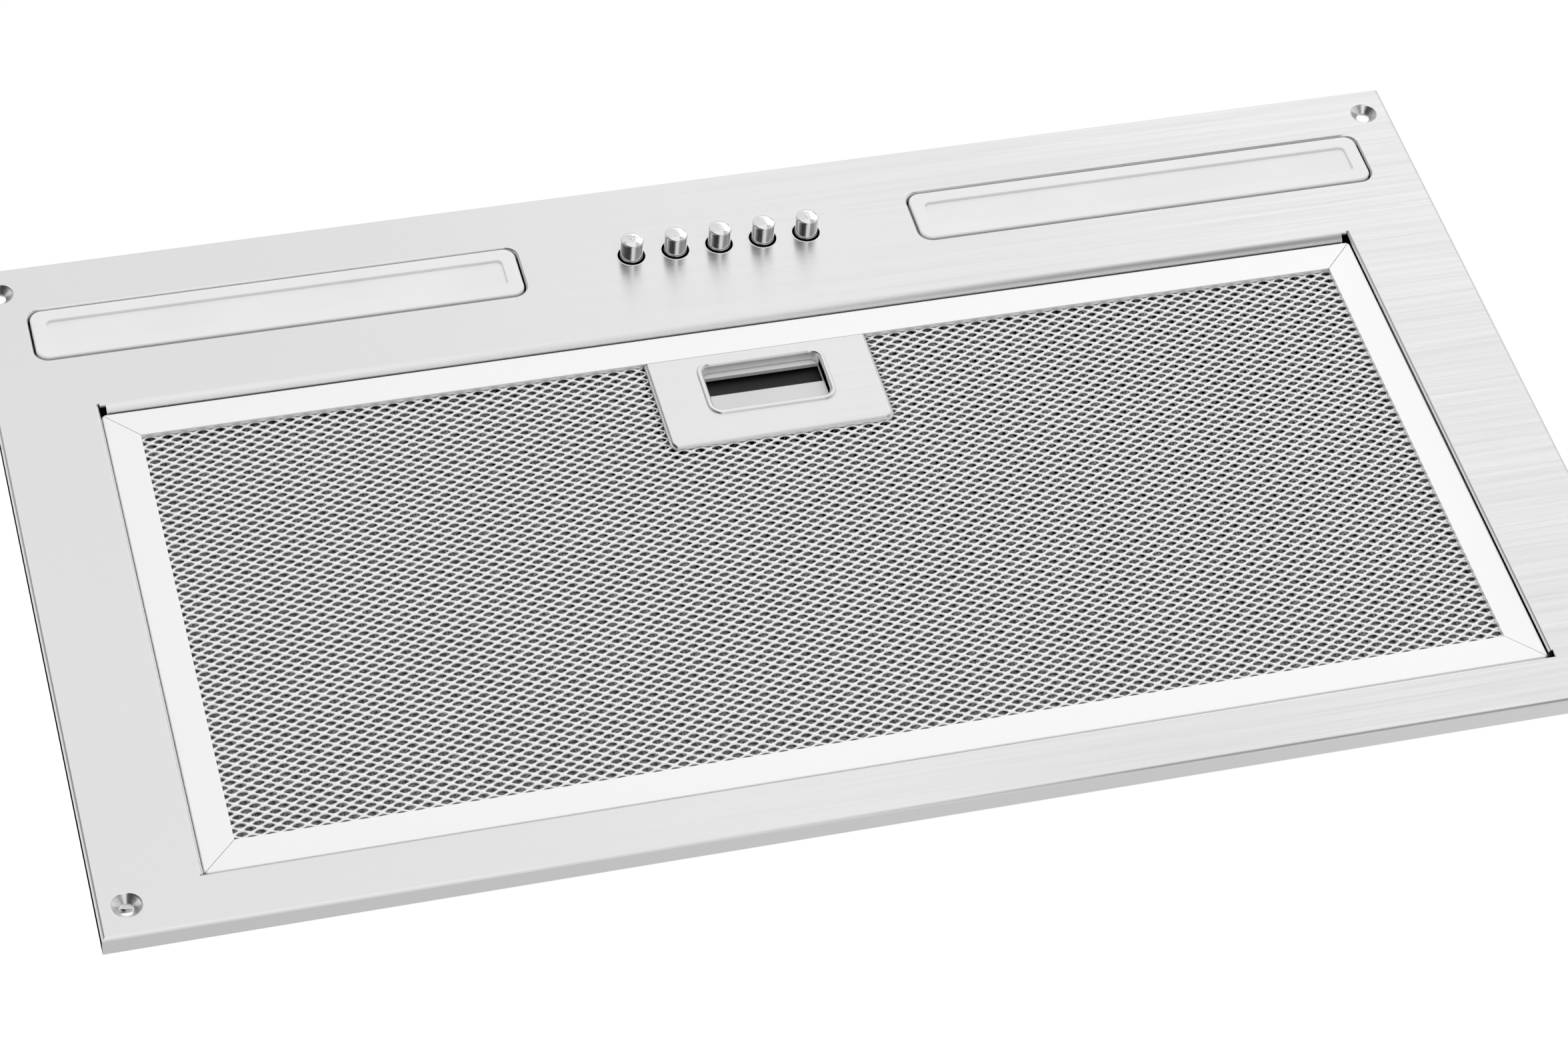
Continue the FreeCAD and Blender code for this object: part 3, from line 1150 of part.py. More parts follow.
def impeller():
    """A forward-curved wheel whose cup turns round the motor."""
    base = V(BLOWER_X, BLOWER_Y, 0)
    z0 = SHAFT_Z0
    z1 = z0 + WHEEL_H
    inner = WHEEL_R - WHEEL_BLADE_D
    cup_z = z0 + CUP_UP

    def ring(outer, hole, low, high):
        return tube(outer, hole, base + V(0, 0, low), UP, high - low)

    wheel = ring(WHEEL_R, WHEEL_R - WHEEL_RING_D, z0, z0 + WHEEL_SKIN)
    wheel = wheel.fuse(ring(WHEEL_R, CUP_R - WHEEL_SKIN, z1, z1 + WHEEL_SKIN))
    cup = ring(CUP_R, CUP_R - WHEEL_SKIN, cup_z, z1 + WHEEL_SKIN)
    cup = cup.fuse(ring(CUP_R, SHAFT_R, cup_z, cup_z + WHEEL_SKIN))
    cup = cup.fuse(ring(SHAFT_R + HUB_T, SHAFT_R, z0, cup_z + WHEEL_SKIN + HUB_UP))
    blades = []
    for i in range(WHEEL_BLADES):
        blade = block(0, WHEEL_BLADE_D / math.cos(math.radians(WHEEL_BLADE_TURN)), 0, WHEEL_BLADE_T, z0, z1)
        blade.rotate(V(0, 0, 0), UP, WHEEL_BLADE_TURN)
        blade.translate(V(inner, 0, 0))
        blade.rotate(V(0, 0, 0), UP, 360 * i / WHEEL_BLADES)
        blade.translate(base)
        blades.append(blade)
    trim = ring(WHEEL_R + 20, WHEEL_R, z0 - 1, z1 + 3)
    vanes = Part.makeCompound(blades).cut(trim)
    return wheel.fuse(cup).fuse(vanes.Solids).removeSplitter()


def motor_shaft():
    return rod(SHAFT_R, V(BLOWER_X, BLOWER_Y, SHAFT_Z0 - 1), UP, MOTOR_Z0 + SHAFT_IN - SHAFT_Z0 + 1)


def motor_can():
    """The motor with three ears for its mounting bushes."""
    base = V(BLOWER_X, BLOWER_Y, MOTOR_Z0)
    can = rod(MOTOR_R, base, UP, MOTOR_H)
    can = can.makeFillet(MOTOR_EDGE_R, edges_level(can, MOTOR_Z0) + edges_level(can, MOTOR_Z0 + MOTOR_H))
    z = SCROLL_TOP + BUSH_H
    for i, (x, y) in enumerate(motor_screw_places()):
        ear = block(0, EAR_R, -EAR_W / 2, EAR_W / 2, z, z + EAR_T)
        ear = ear.fuse(rod(EAR_W / 2, V(EAR_R, 0, z), UP, EAR_T))
        ear = ear.cut(rod(MOTOR_R - 5, V(0, 0, z - 1), UP, EAR_T + 2))
        ear.rotate(V(0, 0, 0), UP, 90 + 360 * i / EAR_COUNT)
        ear.translate(V(BLOWER_X, BLOWER_Y, 0))
        can = can.fuse(ear)
    for x, y in motor_screw_places():
        can = can.cut(screw_hole(V(x, y, z + EAR_T), DOWN, EAR_T))
    return can.cut(rod(SHAFT_R + SHAFT_PLAY, base - UP, UP, SHAFT_IN + 3)).removeSplitter()


def motor_bushes():
    return group([tube(BUSH_R, SCREW_R + SCREW_PLAY, V(x, y, SCROLL_TOP), UP, BUSH_H)
                  for x, y in motor_screw_places()])


def motor_screws():
    seat = SCROLL_TOP + BUSH_H + EAR_T
    return [screw(V(x, y, seat), DOWN, EAR_T + BUSH_H + SCROLL_T) for x, y in motor_screw_places()]


def blower_hangers():
    """Posts between the housing's top and the scroll, with a screw at each end."""
    posts = []
    length = BODY_H - SHEET - SCROLL_TOP
    for x, y in hanger_places():
        post = rod(HANGER_R, V(x, y, SCROLL_TOP), UP, length)
        post = post.cut(rod(SCREW_R + SCREW_PLAY, V(x, y, SCROLL_TOP - 1), UP, length + 2))
        posts.append(post)
    return group(posts)


def top_screws():
    """Screws through the housing's top: the blower's posts and the collar."""
    screws = [screw(V(x, y, BODY_H), DOWN, TOP_SCREW_L) for x, y in hanger_places()]
    screws += [screw(V(x, y, BODY_H + COLLAR_T), DOWN, COLLAR_SCREW_L) for x, y in collar_screw_places()]
    screws += [screw(V(x, y, SCROLL_TOP - SCROLL_T), UP, TOP_SCREW_L) for x, y in hanger_places()]
    return screws


def outlet_collar():
    """The duct collar, its flange, a seat for the flaps and two bores for their pin."""
    base = V(COLLAR_X, COLLAR_Y, BODY_H)
    collar = rod(COLLAR_R, base, UP, COLLAR_H)
    flange = rod(COLLAR_R + COLLAR_FLANGE, base, UP, COLLAR_T)
    reach = COLLAR_R + COLLAR_FLANGE + 1
    front = BODY_Y0 + BODY_BEND
    flange = flange.common(block(COLLAR_X - reach, COLLAR_X + reach, front, COLLAR_Y + reach, BODY_H, BODY_H + COLLAR_T))
    collar = collar.fuse(flange)
    inner = COLLAR_R - COLLAR_T
    collar = collar.cut(rod(inner, base - UP, UP, COLLAR_H + 2))
    seat_z = FLAP_UP - FLAP_T / 2 - SEAT_GAP - SEAT_T
    collar = collar.fuse(tube(inner + COLLAR_T / 2, inner - SEAT_W, base + V(0, 0, seat_z), UP, SEAT_T))
    collar = collar.cut(rod(FLAP_PIN_R, V(COLLAR_X - COLLAR_R - 1, COLLAR_Y, FLAP_Z), V(1, 0, 0), 2 * COLLAR_R + 2))
    for x, y in collar_screw_places():
        collar = collar.cut(screw_hole(V(x, y, BODY_H + COLLAR_T), DOWN, 2))
    return collar.removeSplitter()


def damper_pin():
    reach = COLLAR_R - PIN_SHORT
    return rod(FLAP_PIN_R, V(COLLAR_X - reach, COLLAR_Y, FLAP_Z), V(1, 0, 0), 2 * reach)


def damper_flap(side):
    """Half a disc with every second knuckle of the hinge, on the front or wall side."""
    radius = COLLAR_R - COLLAR_T - FLAP_GAP
    disc = rod(radius, V(COLLAR_X, COLLAR_Y, FLAP_Z - FLAP_T / 2), UP, FLAP_T)
    start = KNUCKLE_R + FLAP_SPLIT
    y0, y1 = sorted((COLLAR_Y + side * start, COLLAR_Y + side * (radius + 5)))
    flap = disc.common(block(COLLAR_X - radius, COLLAR_X + radius, y0, y1, FLAP_Z - 5, FLAP_Z + 5))
    reach = math.sqrt(radius ** 2 - start ** 2) - KNUCKLE_END
    length = 2 * reach / KNUCKLES
    for i in range(KNUCKLES):
        if (i % 2 == 0) != (side > 0):
            continue
        x0 = COLLAR_X - reach + length * i + KNUCKLE_GAP / 2
        x1 = x0 + length - KNUCKLE_GAP
        flap = flap.fuse(rod(KNUCKLE_R, V(x0, COLLAR_Y, FLAP_Z), V(1, 0, 0), x1 - x0))
        t0, t1 = sorted((COLLAR_Y, COLLAR_Y + side * (start + 1)))
        flap = flap.fuse(block(x0, x1, t0, t1, FLAP_Z - FLAP_T / 2, FLAP_Z + FLAP_T / 2))
    bore = rod(FLAP_PIN_R + RUNNING, V(COLLAR_X - radius - 1, COLLAR_Y, FLAP_Z), V(1, 0, 0), 2 * radius + 2)
    return flap.cut(bore).removeSplitter()


def box_screw_places():
    reach_x = BOX_W / 2 - BOX_T - BOSS_IN
    reach_y = BOX_D / 2 - BOX_T - BOSS_IN
    return [(BOX_X - reach_x, BOX_Y - reach_y), (BOX_X + reach_x, BOX_Y + reach_y)]


def terminal_box():
    """The supply box on the housing, open on top, with a boss for each lid screw."""
    z0 = BODY_H
    box = plate(BOX_X, BOX_Y, BOX_W, BOX_D, BOX_R, z0, z0 + BOX_H)
    box = box.cut(plate(BOX_X, BOX_Y, BOX_W - 2 * BOX_T, BOX_D - 2 * BOX_T, BOX_R - BOX_T,
                        z0 + BOX_T, z0 + BOX_H + 1))
    for x, y in box_screw_places():
        box = box.fuse(rod(SCREW_HEAD_R, V(x, y, z0 + BOX_T / 2), UP, BOX_H - BOX_T / 2))
        box = box.cut(rod(SCREW_R + SCREW_PLAY, V(x, y, z0 + BOX_H - BOSS_BORE), UP, BOSS_BORE + 1))
    box = box.cut(rod(GLAND_R, V(BOX_X, BOX_Y - BOX_D / 2 - 1, z0 + BOX_H / 2), V(0, 1, 0), BOX_T + 2))
    box = box.cut(rod(GLAND_R - 1, V(BOX_X, BOX_Y + BOX_D / 4, z0 - 1), UP, BOX_T + 2))
    return box.removeSplitter()


def terminal_box_lid():
    z0 = BODY_H + BOX_H
    lid = plate(BOX_X, BOX_Y, BOX_W, BOX_D, BOX_R, z0, z0 + LID_T)
    lid = lid.makeFillet(LID_T / 2, edges_level(lid, z0 + LID_T))
    for x, y in box_screw_places():
        lid = lid.cut(screw_hole(V(x, y, z0 + LID_T), DOWN, LID_T))
    return lid


def lid_screws():
    seat = BODY_H + BOX_H + LID_T
    return [screw(V(x, y, seat), DOWN, LID_SCREW_L) for x, y in box_screw_places()]


def pan_head_screws():
    """Every pan-head screw of the insert; they differ only in length."""
    return group(housing_screws() + switch_screws() + motor_screws() + top_screws() + lid_screws())


def terminal_block():
    """A row of screw terminals on the floor of the supply box."""
    z0 = BODY_H + BOX_T
    y = BOX_Y - BLOCK_OFF
    body = block(BOX_X - BLOCK_W / 2, BOX_X + BLOCK_W / 2, y - BLOCK_D / 2, y + BLOCK_D / 2, z0, z0 + BLOCK_H)
    for i in range(BLOCK_POLES):
        x = BOX_X + BLOCK_W / BLOCK_POLES * (i - (BLOCK_POLES - 1) / 2)
        body = body.cut(rod(BLOCK_SCREW_R, V(x, y, z0 + BLOCK_H / 2), UP, BLOCK_H))
        body = body.cut(rod(BLOCK_WIRE_R, V(x, y - BLOCK_D, z0 + BLOCK_H / 3), V(0, 1, 0), 2 * BLOCK_D))
    return body


def cable_gland():
    """A cable gland in the front of the supply box: thread, hexagon and cap nut."""
    start = V(BOX_X, BOX_Y - BOX_D / 2 + BOX_T + GLAND_IN, BODY_H + BOX_H / 2)
    out = V(0, -1, 0)
    gland = rod(GLAND_R, start, out, BOX_T + GLAND_IN)
    face = start + out * (BOX_T + GLAND_IN)
    gland = gland.fuse(hexagon(GLAND_NUT_AF, face, out, GLAND_NUT_H))
    cap_start = face + out * GLAND_NUT_H
    cap_length = GLAND_LEN - BOX_T - GLAND_IN - GLAND_NUT_H
    cap = rod(GLAND_R, cap_start, out, cap_length)
    rim = [e for e in cap.Edges if abs(e.BoundBox.YMax - (cap_start.y - cap_length)) < 1e-6]
    gland = gland.fuse(cap.makeFillet(GLAND_EDGE_R, rim))
    return gland.cut(rod(GLAND_BORE_R, start - out, out, GLAND_LEN + 2)).removeSplitter()


def motor_capacitor():
    """The capacitor, hung by its stud from the housing's top."""
    top = BODY_H - SHEET
    can = rod(CAP_R, V(CAP_X, CAP_Y, top - CAP_H), UP, CAP_H)
    return can.makeFillet(CAP_EDGE_R, edges_level(can, top - CAP_H))


def led_driver():
    """The lamps' driver, fixed to the inside of the front wall."""
    y0 = BODY_Y0 + SHEET
    body = block(DRIVER_X - DRIVER_W / 2, DRIVER_X + DRIVER_W / 2, y0, y0 + DRIVER_D, DRIVER_UP, DRIVER_UP + DRIVER_H)
    return body.makeFillet(DRIVER_EDGE_R, [e for e in body.Edges if e.BoundBox.YMin > y0 + 1e-6])


def save(name, shape):
    placed = shape.copy()
    placed.translate(V(0, 0, -SKIRT_H))
    placed.exportStep(os.path.join("parts", name + ".step"))


def build():
    parts = {
        "face_panel": face_panel(),
        "weld_studs": weld_studs(),
        "stud_nuts": stud_nuts(),
        "housing_shell": housing_shell(),
        "housing_end_left": housing_end(-1),
        "housing_end_right": housing_end(1),
        "pan_head_screws": pan_head_screws(),
        "filter_mesh_outer": mesh_sheet(HEM_TOP, 0),
        "filter_mesh_core": mesh_core(),
        "filter_mesh_inner": mesh_sheet(PACK_TOP - MESH_T, 0),
        "filter_pivots": filter_pivots(),
        "filter_handle_plate": handle_plate(),
        "latch_case": latch_case(),
        "latch_slider": latch_slider(),
        "latch_spring": latch_spring(),
        "lamp_clips": lamp_clips(),
        "switch_body": switch_body(),
        "switch_terminals": switch_terminals(),
        "switch_bracket": switch_bracket(),
        "scroll_lower": scroll_lower(),
        "scroll_upper": scroll_upper(),
        "scroll_clips": scroll_clips(),
        "inlet_guard": inlet_guard(),
        "impeller": impeller(),
        "motor_shaft": motor_shaft(),
        "motor_can": motor_can(),
        "motor_bushes": motor_bushes(),
        "blower_hangers": blower_hangers(),
        "outlet_collar": outlet_collar(),
        "damper_pin": damper_pin(),
        "damper_flap_front": damper_flap(-1),
        "damper_flap_rear": damper_flap(1),
        "terminal_box": terminal_box(),
        "terminal_box_lid": terminal_box_lid(),
        "terminal_block": terminal_block(),
        "cable_gland": cable_gland(),
        "motor_capacitor": motor_capacitor(),
        "led_driver": led_driver(),
    }
    parts.update(filter_rails())
    for side, word in ((-1, "left"), (1, "right")):
        parts["lamp_bezel_" + word] = lamp_bezel(side)
        parts["lamp_lens_" + word] = lamp_lens(side)
        parts["lamp_tray_" + word] = lamp_tray(side)
        parts["lamp_led_board_" + word] = lamp_led_board(side)
    for i, x in enumerate(button_places()):
        word = BUTTON_NAMES[i] if i < len(BUTTON_NAMES) else str(i)
        parts["button_" + word] = button(x)
        parts["button_spring_" + word] = button_spring(x)
    return parts


os.makedirs("parts", exist_ok=True)
for part_name, part_shape in build().items():
    save(part_name, part_shape)
    print(part_name, len(part_shape.Solids), round(part_shape.Volume, 2), part_shape.isValid())
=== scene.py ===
import json
import math

import bmesh
import bpy
import numpy as np
from mathutils import Matrix, Vector


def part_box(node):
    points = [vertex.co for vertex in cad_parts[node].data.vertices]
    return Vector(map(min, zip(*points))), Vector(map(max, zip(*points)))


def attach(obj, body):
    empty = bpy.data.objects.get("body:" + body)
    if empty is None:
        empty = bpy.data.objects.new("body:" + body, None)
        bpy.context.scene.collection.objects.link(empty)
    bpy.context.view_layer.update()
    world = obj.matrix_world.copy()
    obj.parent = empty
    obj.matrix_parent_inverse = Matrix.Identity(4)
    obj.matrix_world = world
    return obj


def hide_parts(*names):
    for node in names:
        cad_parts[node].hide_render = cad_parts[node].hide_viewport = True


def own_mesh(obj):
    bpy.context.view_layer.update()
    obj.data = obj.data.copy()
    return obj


# Range hood insert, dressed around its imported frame. Metres, in the frame's own axes:
# X to the right, Y from the buttons towards the wall, Z up; the visible face looks down.

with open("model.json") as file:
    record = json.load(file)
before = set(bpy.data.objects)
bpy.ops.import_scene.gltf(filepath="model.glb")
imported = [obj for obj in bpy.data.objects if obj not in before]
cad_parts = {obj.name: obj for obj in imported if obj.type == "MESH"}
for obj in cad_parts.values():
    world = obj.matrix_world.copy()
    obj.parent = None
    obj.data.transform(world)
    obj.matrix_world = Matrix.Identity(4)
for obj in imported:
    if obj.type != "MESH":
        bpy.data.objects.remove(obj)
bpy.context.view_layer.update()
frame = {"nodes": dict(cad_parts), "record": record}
nodes = frame["nodes"]
MM = 0.001
WHITE = (1.0, 1.0, 1.0, 1.0)

# ---------------------------------------------------------------- objects


def add_object(name, data):
    made = bpy.data.objects.new(name, data)
    bpy.context.scene.collection.objects.link(made)
    return made


def as_mesh(data):
    """The mesh of a curve or a text."""
    scratch = add_object("scratch", data)
    bpy.context.view_layer.update()
    shaped = scratch.evaluated_get(bpy.context.evaluated_depsgraph_get())
    mesh = bpy.data.meshes.new_from_object(shaped)
    bpy.data.objects.remove(scratch)
    return mesh


def quad_mesh(name, points, quads):
    """An object of four-sided faces, shaded smooth."""
    mesh = bpy.data.meshes.new(name)
    mesh.vertices.add(len(points))
    mesh.vertices.foreach_set("co", points.astype(np.float32).ravel())
    mesh.loops.add(len(quads) * 4)
    mesh.loops.foreach_set("vertex_index", quads.ravel().astype(np.int32))
    mesh.polygons.add(len(quads))
    mesh.polygons.foreach_set("loop_start", np.arange(len(quads), dtype=np.int32) * 4)
    mesh.polygons.foreach_set("use_smooth", np.ones(len(quads), bool))
    mesh.update(calc_edges=True)
    return add_object(name, mesh)


def dress(piece, materials, slot, body):
    """A piece's material, its slot in the record and the body that it rides on."""
    piece.data.materials.clear()
    piece.data.materials.append(materials[slot])
    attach(piece, body)


# ---------------------------------------------------------------- camera

CAMERA_AT = Vector((-351.0, 1010.6, -1146.9)) * MM
CAMERA_FORWARD = Vector((0.2195, -0.6398, 0.7366))
CAMERA_UP = Vector((0.1438, -0.7255, -0.6730))
CAMERA_LENS = 106.4
SENSOR_WIDTH = 36.0
CLIP_NEAR = 0.01
CLIP_FAR = 100.0


def make_camera():
    """The photograph's camera, below the visible face and beyond its wall side."""
    data = bpy.data.cameras.new("camera")
    data.sensor_width = SENSOR_WIDTH
    data.sensor_fit = "HORIZONTAL"
    data.lens = CAMERA_LENS
    data.clip_start = CLIP_NEAR
    data.clip_end = CLIP_FAR
    camera = add_object("camera", data)
    back = -CAMERA_FORWARD.normalized()
    right = CAMERA_UP.cross(back).normalized()
    up = back.cross(right)
    turn = Matrix((right, up, back)).transposed()
    camera.matrix_world = Matrix.Translation(CAMERA_AT) @ turn.to_4x4()
    bpy.context.scene.camera = camera


# ---------------------------------------------------------------- node helpers


def add(tree, kind, inputs=None, **settings):
    """A shader node; an input is a socket to link or a value to set."""
    node = tree.nodes.new(kind)
    for key, value in settings.items():
        setattr(node, key, value)
    for key, value in (inputs or {}).items():
        if isinstance(value, bpy.types.NodeSocket):
            tree.links.new(value, node.inputs[key])
        else:
            node.inputs[key].default_value = value
    return node


def math_node(tree, operation, a, b=0.0, c=0.0):
    return add(tree, "ShaderNodeMath", {0: a, 1: b, 2: c}, operation=operation).outputs[0]


def weighted(tree, first, second, share):
    """Two values mixed, with the first one's share of the whole."""
    parts = [math_node(tree, "MULTIPLY", first, share),
             math_node(tree, "MULTIPLY", second, 1.0 - share)]
    return math_node(tree, "ADD", *parts)


def ramp(tree, factor, stops):
    """Colour ramp; stops are (position, grey or colour)."""
    node = add(tree, "ShaderNodeValToRGB", {"Fac": factor})
    elements = node.color_ramp.elements
    while len(elements) < len(stops):
        elements.new(0.5)
    for element, (place, colour) in zip(elements, stops):
        element.position = place
        rgb = colour if isinstance(colour, tuple) else (colour, colour, colour)
        element.color = (*rgb, 1.0)
    return node.outputs["Color"]


def object_place(tree, scale=(1.0, 1.0, 1.0)):
    """The piece's own coordinates in metres, scaled along each axis."""
    place = add(tree, "ShaderNodeTexCoord").outputs["Object"]
    return add(tree, "ShaderNodeMapping", {"Vector": place, "Scale": scale}).outputs["Vector"]


def noise(tree, vector, scale, detail=2.0, roughness=0.5):
    inputs = {"Vector": vector, "Scale": scale, "Detail": detail, "Roughness": roughness}
    return add(tree, "ShaderNodeTexNoise", inputs).outputs["Fac"]


def bump(tree, height, strength, distance):
    inputs = {"Height": height, "Strength": strength, "Distance": distance}
    return add(tree, "ShaderNodeBump", inputs).outputs["Normal"]


def new_material(name):
    material = bpy.data.materials.new(name)
    material.use_nodes = True
    tree = material.node_tree
    shader = next(node for node in tree.nodes if node.type == "BSDF_PRINCIPLED")
    return material, tree, shader


def link(tree, source, shader, name):
    tree.links.new(source, shader.inputs[name])


# ---------------------------------------------------------------- materials

# Scales of noise are in waves per metre, and bump heights in metres.
FINE_STREAK = (12.0, 1500.0)     # along the brushing, across it
BROAD_STREAK = (5.0, 260.0)
BRUSHED_ANISOTROPY = 0.95


def brushed_metal(name, light, dark, roughness, along):
    """Metal brushed along one axis: fine streaks, soft clouds and a stretched highlight."""
    material, tree, shader = new_material(name)
    axis = tuple(1.0 if i == along else 0.0 for i in range(3))
    stretch = [tuple(long if i == along else short for i in range(3))
               for long, short in (FINE_STREAK, BROAD_STREAK)]
    fine = noise(tree, object_place(tree, stretch[0]), 1.0, 3.0, 0.6)
    broad = noise(tree, object_place(tree, stretch[1]), 1.0, 2.0)
    cloud = noise(tree, object_place(tree), 9.0, 2.0)
    lines = weighted(tree, fine, broad, 0.85)
    tone = weighted(tree, lines, cloud, 0.8)
    link(tree, ramp(tree, tone, [(0.34, dark), (0.66, light)]), shader, "Base Color")
    uneven = math_node(tree, "SUBTRACT", lines, 0.5)
    rough = math_node(tree, "MULTIPLY_ADD", uneven, 0.25, roughness)
    link(tree, rough, shader, "Roughness")
    link(tree, bump(tree, fine, 0.12, 0.00004), shader, "Normal")
    shader.inputs["Metallic"].default_value = 1.0
    shader.inputs["Anisotropic"].default_value = BRUSHED_ANISOTROPY
    normal = add(tree, "ShaderNodeNewGeometry").outputs["Normal"]
    grain = add(tree, "ShaderNodeVectorTransform", {"Vector": axis}, vector_type="VECTOR",
                convert_from="OBJECT", convert_to="WORLD").outputs["Vector"]
    across = add(tree, "ShaderNodeVectorMath", {0: normal, 1: grain}, operation="CROSS_PRODUCT")
    link(tree, across.outputs["Vector"], shader, "Tangent")
    return material


def satin_metal(name, light, dark, roughness, grain=400.0, bumps=0.05, metallic=1.0):
    """Metal with a fine even grain."""
    material, tree, shader = new_material(name)
    place = object_place(tree)
    fine = noise(tree, place, grain * 4, 3.0)
    cloud = noise(tree, place, 30.0, 3.0)
    tone = weighted(tree, fine, cloud, 0.5)
    link(tree, ramp(tree, tone, [(0.35, dark), (0.65, light)]), shader, "Base Color")
    rough = math_node(tree, "MULTIPLY_ADD", cloud, 0.12, roughness - 0.06)
    link(tree, rough, shader, "Roughness")
    link(tree, bump(tree, fine, bumps, 0.0001), shader, "Normal")
    shader.inputs["Metallic"].default_value = metallic
    return material


def galvanised(name, light, dark):
    """Zinc-coated sheet with its spangle."""
    material, tree, shader = new_material(name)
    place = object_place(tree)
    spangle = {"Vector": place, "Scale": 120.0, "Randomness": 1.0}
    cells = add(tree, "ShaderNodeTexVoronoi", spangle).outputs["Color"]
    grey = add(tree, "ShaderNodeSeparateColor", {"Color": cells}).outputs[0]
    cloud = noise(tree, place, 14.0, 3.0)
    tone = weighted(tree, grey, cloud, 0.45)
    link(tree, ramp(tree, tone, [(0.2, dark), (0.8, light)]), shader, "Base Color")
    link(tree, math_node(tree, "MULTIPLY_ADD", grey, 0.18, 0.30), shader, "Roughness")
    link(tree, bump(tree, cloud, 0.05, 0.0005), shader, "Normal")
    shader.inputs["Metallic"].default_value = 1.0
    return material


def moulded(name, light, dark, roughness, grain=900.0, depth=0.00004):
    """Moulded plastic or rubber, or a coated part, with a fine eroded grain."""
    material, tree, shader = new_material(name)
    place = object_place(tree)
    fine = noise(tree, place, grain, 3.0)
    cloud = noise(tree, place, 25.0, 2.0)
    link(tree, ramp(tree, cloud, [(0.3, dark), (0.7, light)]), shader, "Base Color")
    rough = math_node(tree, "MULTIPLY_ADD", fine, 0.12, roughness - 0.06)
    link(tree, rough, shader, "Roughness")
    link(tree, bump(tree, fine, 0.25, depth), shader, "Normal")
    return material


def paper(name, dark, light):
    """Matt card or paper without any reflection, for the stage."""
    material, tree, shader = new_material(name)
    cloud = noise(tree, object_place(tree), 1.5, 2.0)
    link(tree, ramp(tree, cloud, [(0.3, dark), (0.7, light)]), shader, "Base Color")
    shader.inputs["Roughness"].default_value = 0.8
    shader.inputs["Specular IOR Level"].default_value = 0.0
    return material


LOOKS = {
    "panel_steel": (brushed_metal, dict(light=0.96, dark=0.91, roughness=0.32, along=0)),
    "rail_aluminium": (satin_metal, dict(light=0.99, dark=0.97, roughness=0.40, grain=500.0,
                                         bumps=0.02, metallic=0.4)),
    "mesh_aluminium": (satin_metal, dict(light=0.99, dark=0.96, roughness=0.40, metallic=0.25)),
    # The mesh aluminium painted darker: painted shade for the sheets behind the outer one, which
    # are the same metal in shadow.
    "mesh_painted_shade": (satin_metal, dict(light=0.58, dark=0.50, roughness=0.40, metallic=0.4)),
    "screw_steel": (satin_metal, dict(light=0.70, dark=0.58, roughness=0.30)),
    "spring_steel": (satin_metal, dict(light=0.55, dark=0.45, roughness=0.28)),
    "button_chrome": (satin_metal, dict(light=0.88, dark=0.85, roughness=0.07, grain=300.0,
                                        bumps=0.002)),
    "galvanised": (galvanised, dict(light=(0.66, 0.68, 0.69), dark=(0.42, 0.44, 0.46))),
    "motor_steel": (moulded, dict(light=(0.05, 0.052, 0.055), dark=(0.03, 0.031, 0.033),
                                  roughness=0.45)),
    "latch_grey": (moulded, dict(light=(0.74, 0.74, 0.74), dark=(0.68, 0.68, 0.68),
                                 roughness=0.40)),
    "white_plastic": (moulded, dict(light=(0.86, 0.86, 0.86), dark=(0.84, 0.84, 0.84),
                                    roughness=0.25, depth=0.000005)),
    "frosted_lens": (moulded, dict(light=(0.86, 0.86, 0.86), dark=(0.82, 0.82, 0.82),
                                   roughness=0.40, depth=0.00001)),
    "led_board": (moulded, dict(light=(0.80, 0.82, 0.80), dark=(0.75, 0.77, 0.75),
                                roughness=0.35)),
    "black_plastic": (moulded, dict(light=(0.014, 0.014, 0.015), dark=(0.009, 0.009, 0.010),
                                    roughness=0.5)),
    "wheel_grey": (moulded, dict(light=(0.055, 0.057, 0.06), dark=(0.04, 0.042, 0.044),
                                 roughness=0.5)),
    "light_plastic": (moulded, dict(light=(0.62, 0.61, 0.58), dark=(0.56, 0.55, 0.52),
                                    roughness=0.42)),
    "rubber": (moulded, dict(light=(0.018, 0.018, 0.018), dark=(0.010, 0.010, 0.010),
                             roughness=0.65, grain=500.0)),
    "brass": (satin_metal, dict(light=(0.78, 0.60, 0.28), dark=(0.68, 0.50, 0.22),
                                roughness=0.28)),
}
FINISH = {"filter_handle_plate": "panel_steel", "lamp_tray_left": "spring_steel",
          "lamp_tray_right": "spring_steel"}


def make_materials():
    return {name: make(name, **look) for name, (make, look) in LOOKS.items()}


def dress_frame(materials):
    """Each CAD node takes its slot's material, apart from a few with a finish of their own."""
    for entry in frame["record"]["subparts"]:
        node = nodes[entry["node"]]
        node.data.materials.clear()
        node.data.materials.append(materials[FINISH.get(entry["node"], entry["material_slot"])])


# ---------------------------------------------------------------- room and lights

WORLD_DIFFUSE = 0.60
ROOM_SIDE = (-0.5, 1.0, 0.0)     # the room gets darker this way
SKY_STOPS = [(0.35, 1.0), (0.60, 0.76), (0.74, 0.68), (0.82, 0.48), (1.0, 0.32)]
HORIZON_STOPS = [(0.89, 0.8), (0.94, 0.10)]
HORIZON_FROM, HORIZON_TO = 0.12, 0.48    # heights over which the horizon gives way to the sky

FLOOR_Z = -3.6
FLOOR_R = 8.8
FLOOR_SIDES = 96
LIGHT_Z = FLOOR_Z + 0.4
CARD_Z = LIGHT_Z + 0.05
CARD_REACH = 8.0
CARD_LEFT = ((-CARD_REACH, -2.2), (-0.85, CARD_REACH))     # opposite corners in plan
CARD_RIGHT = ((0.95, 0.3), (3.4, 3.4))

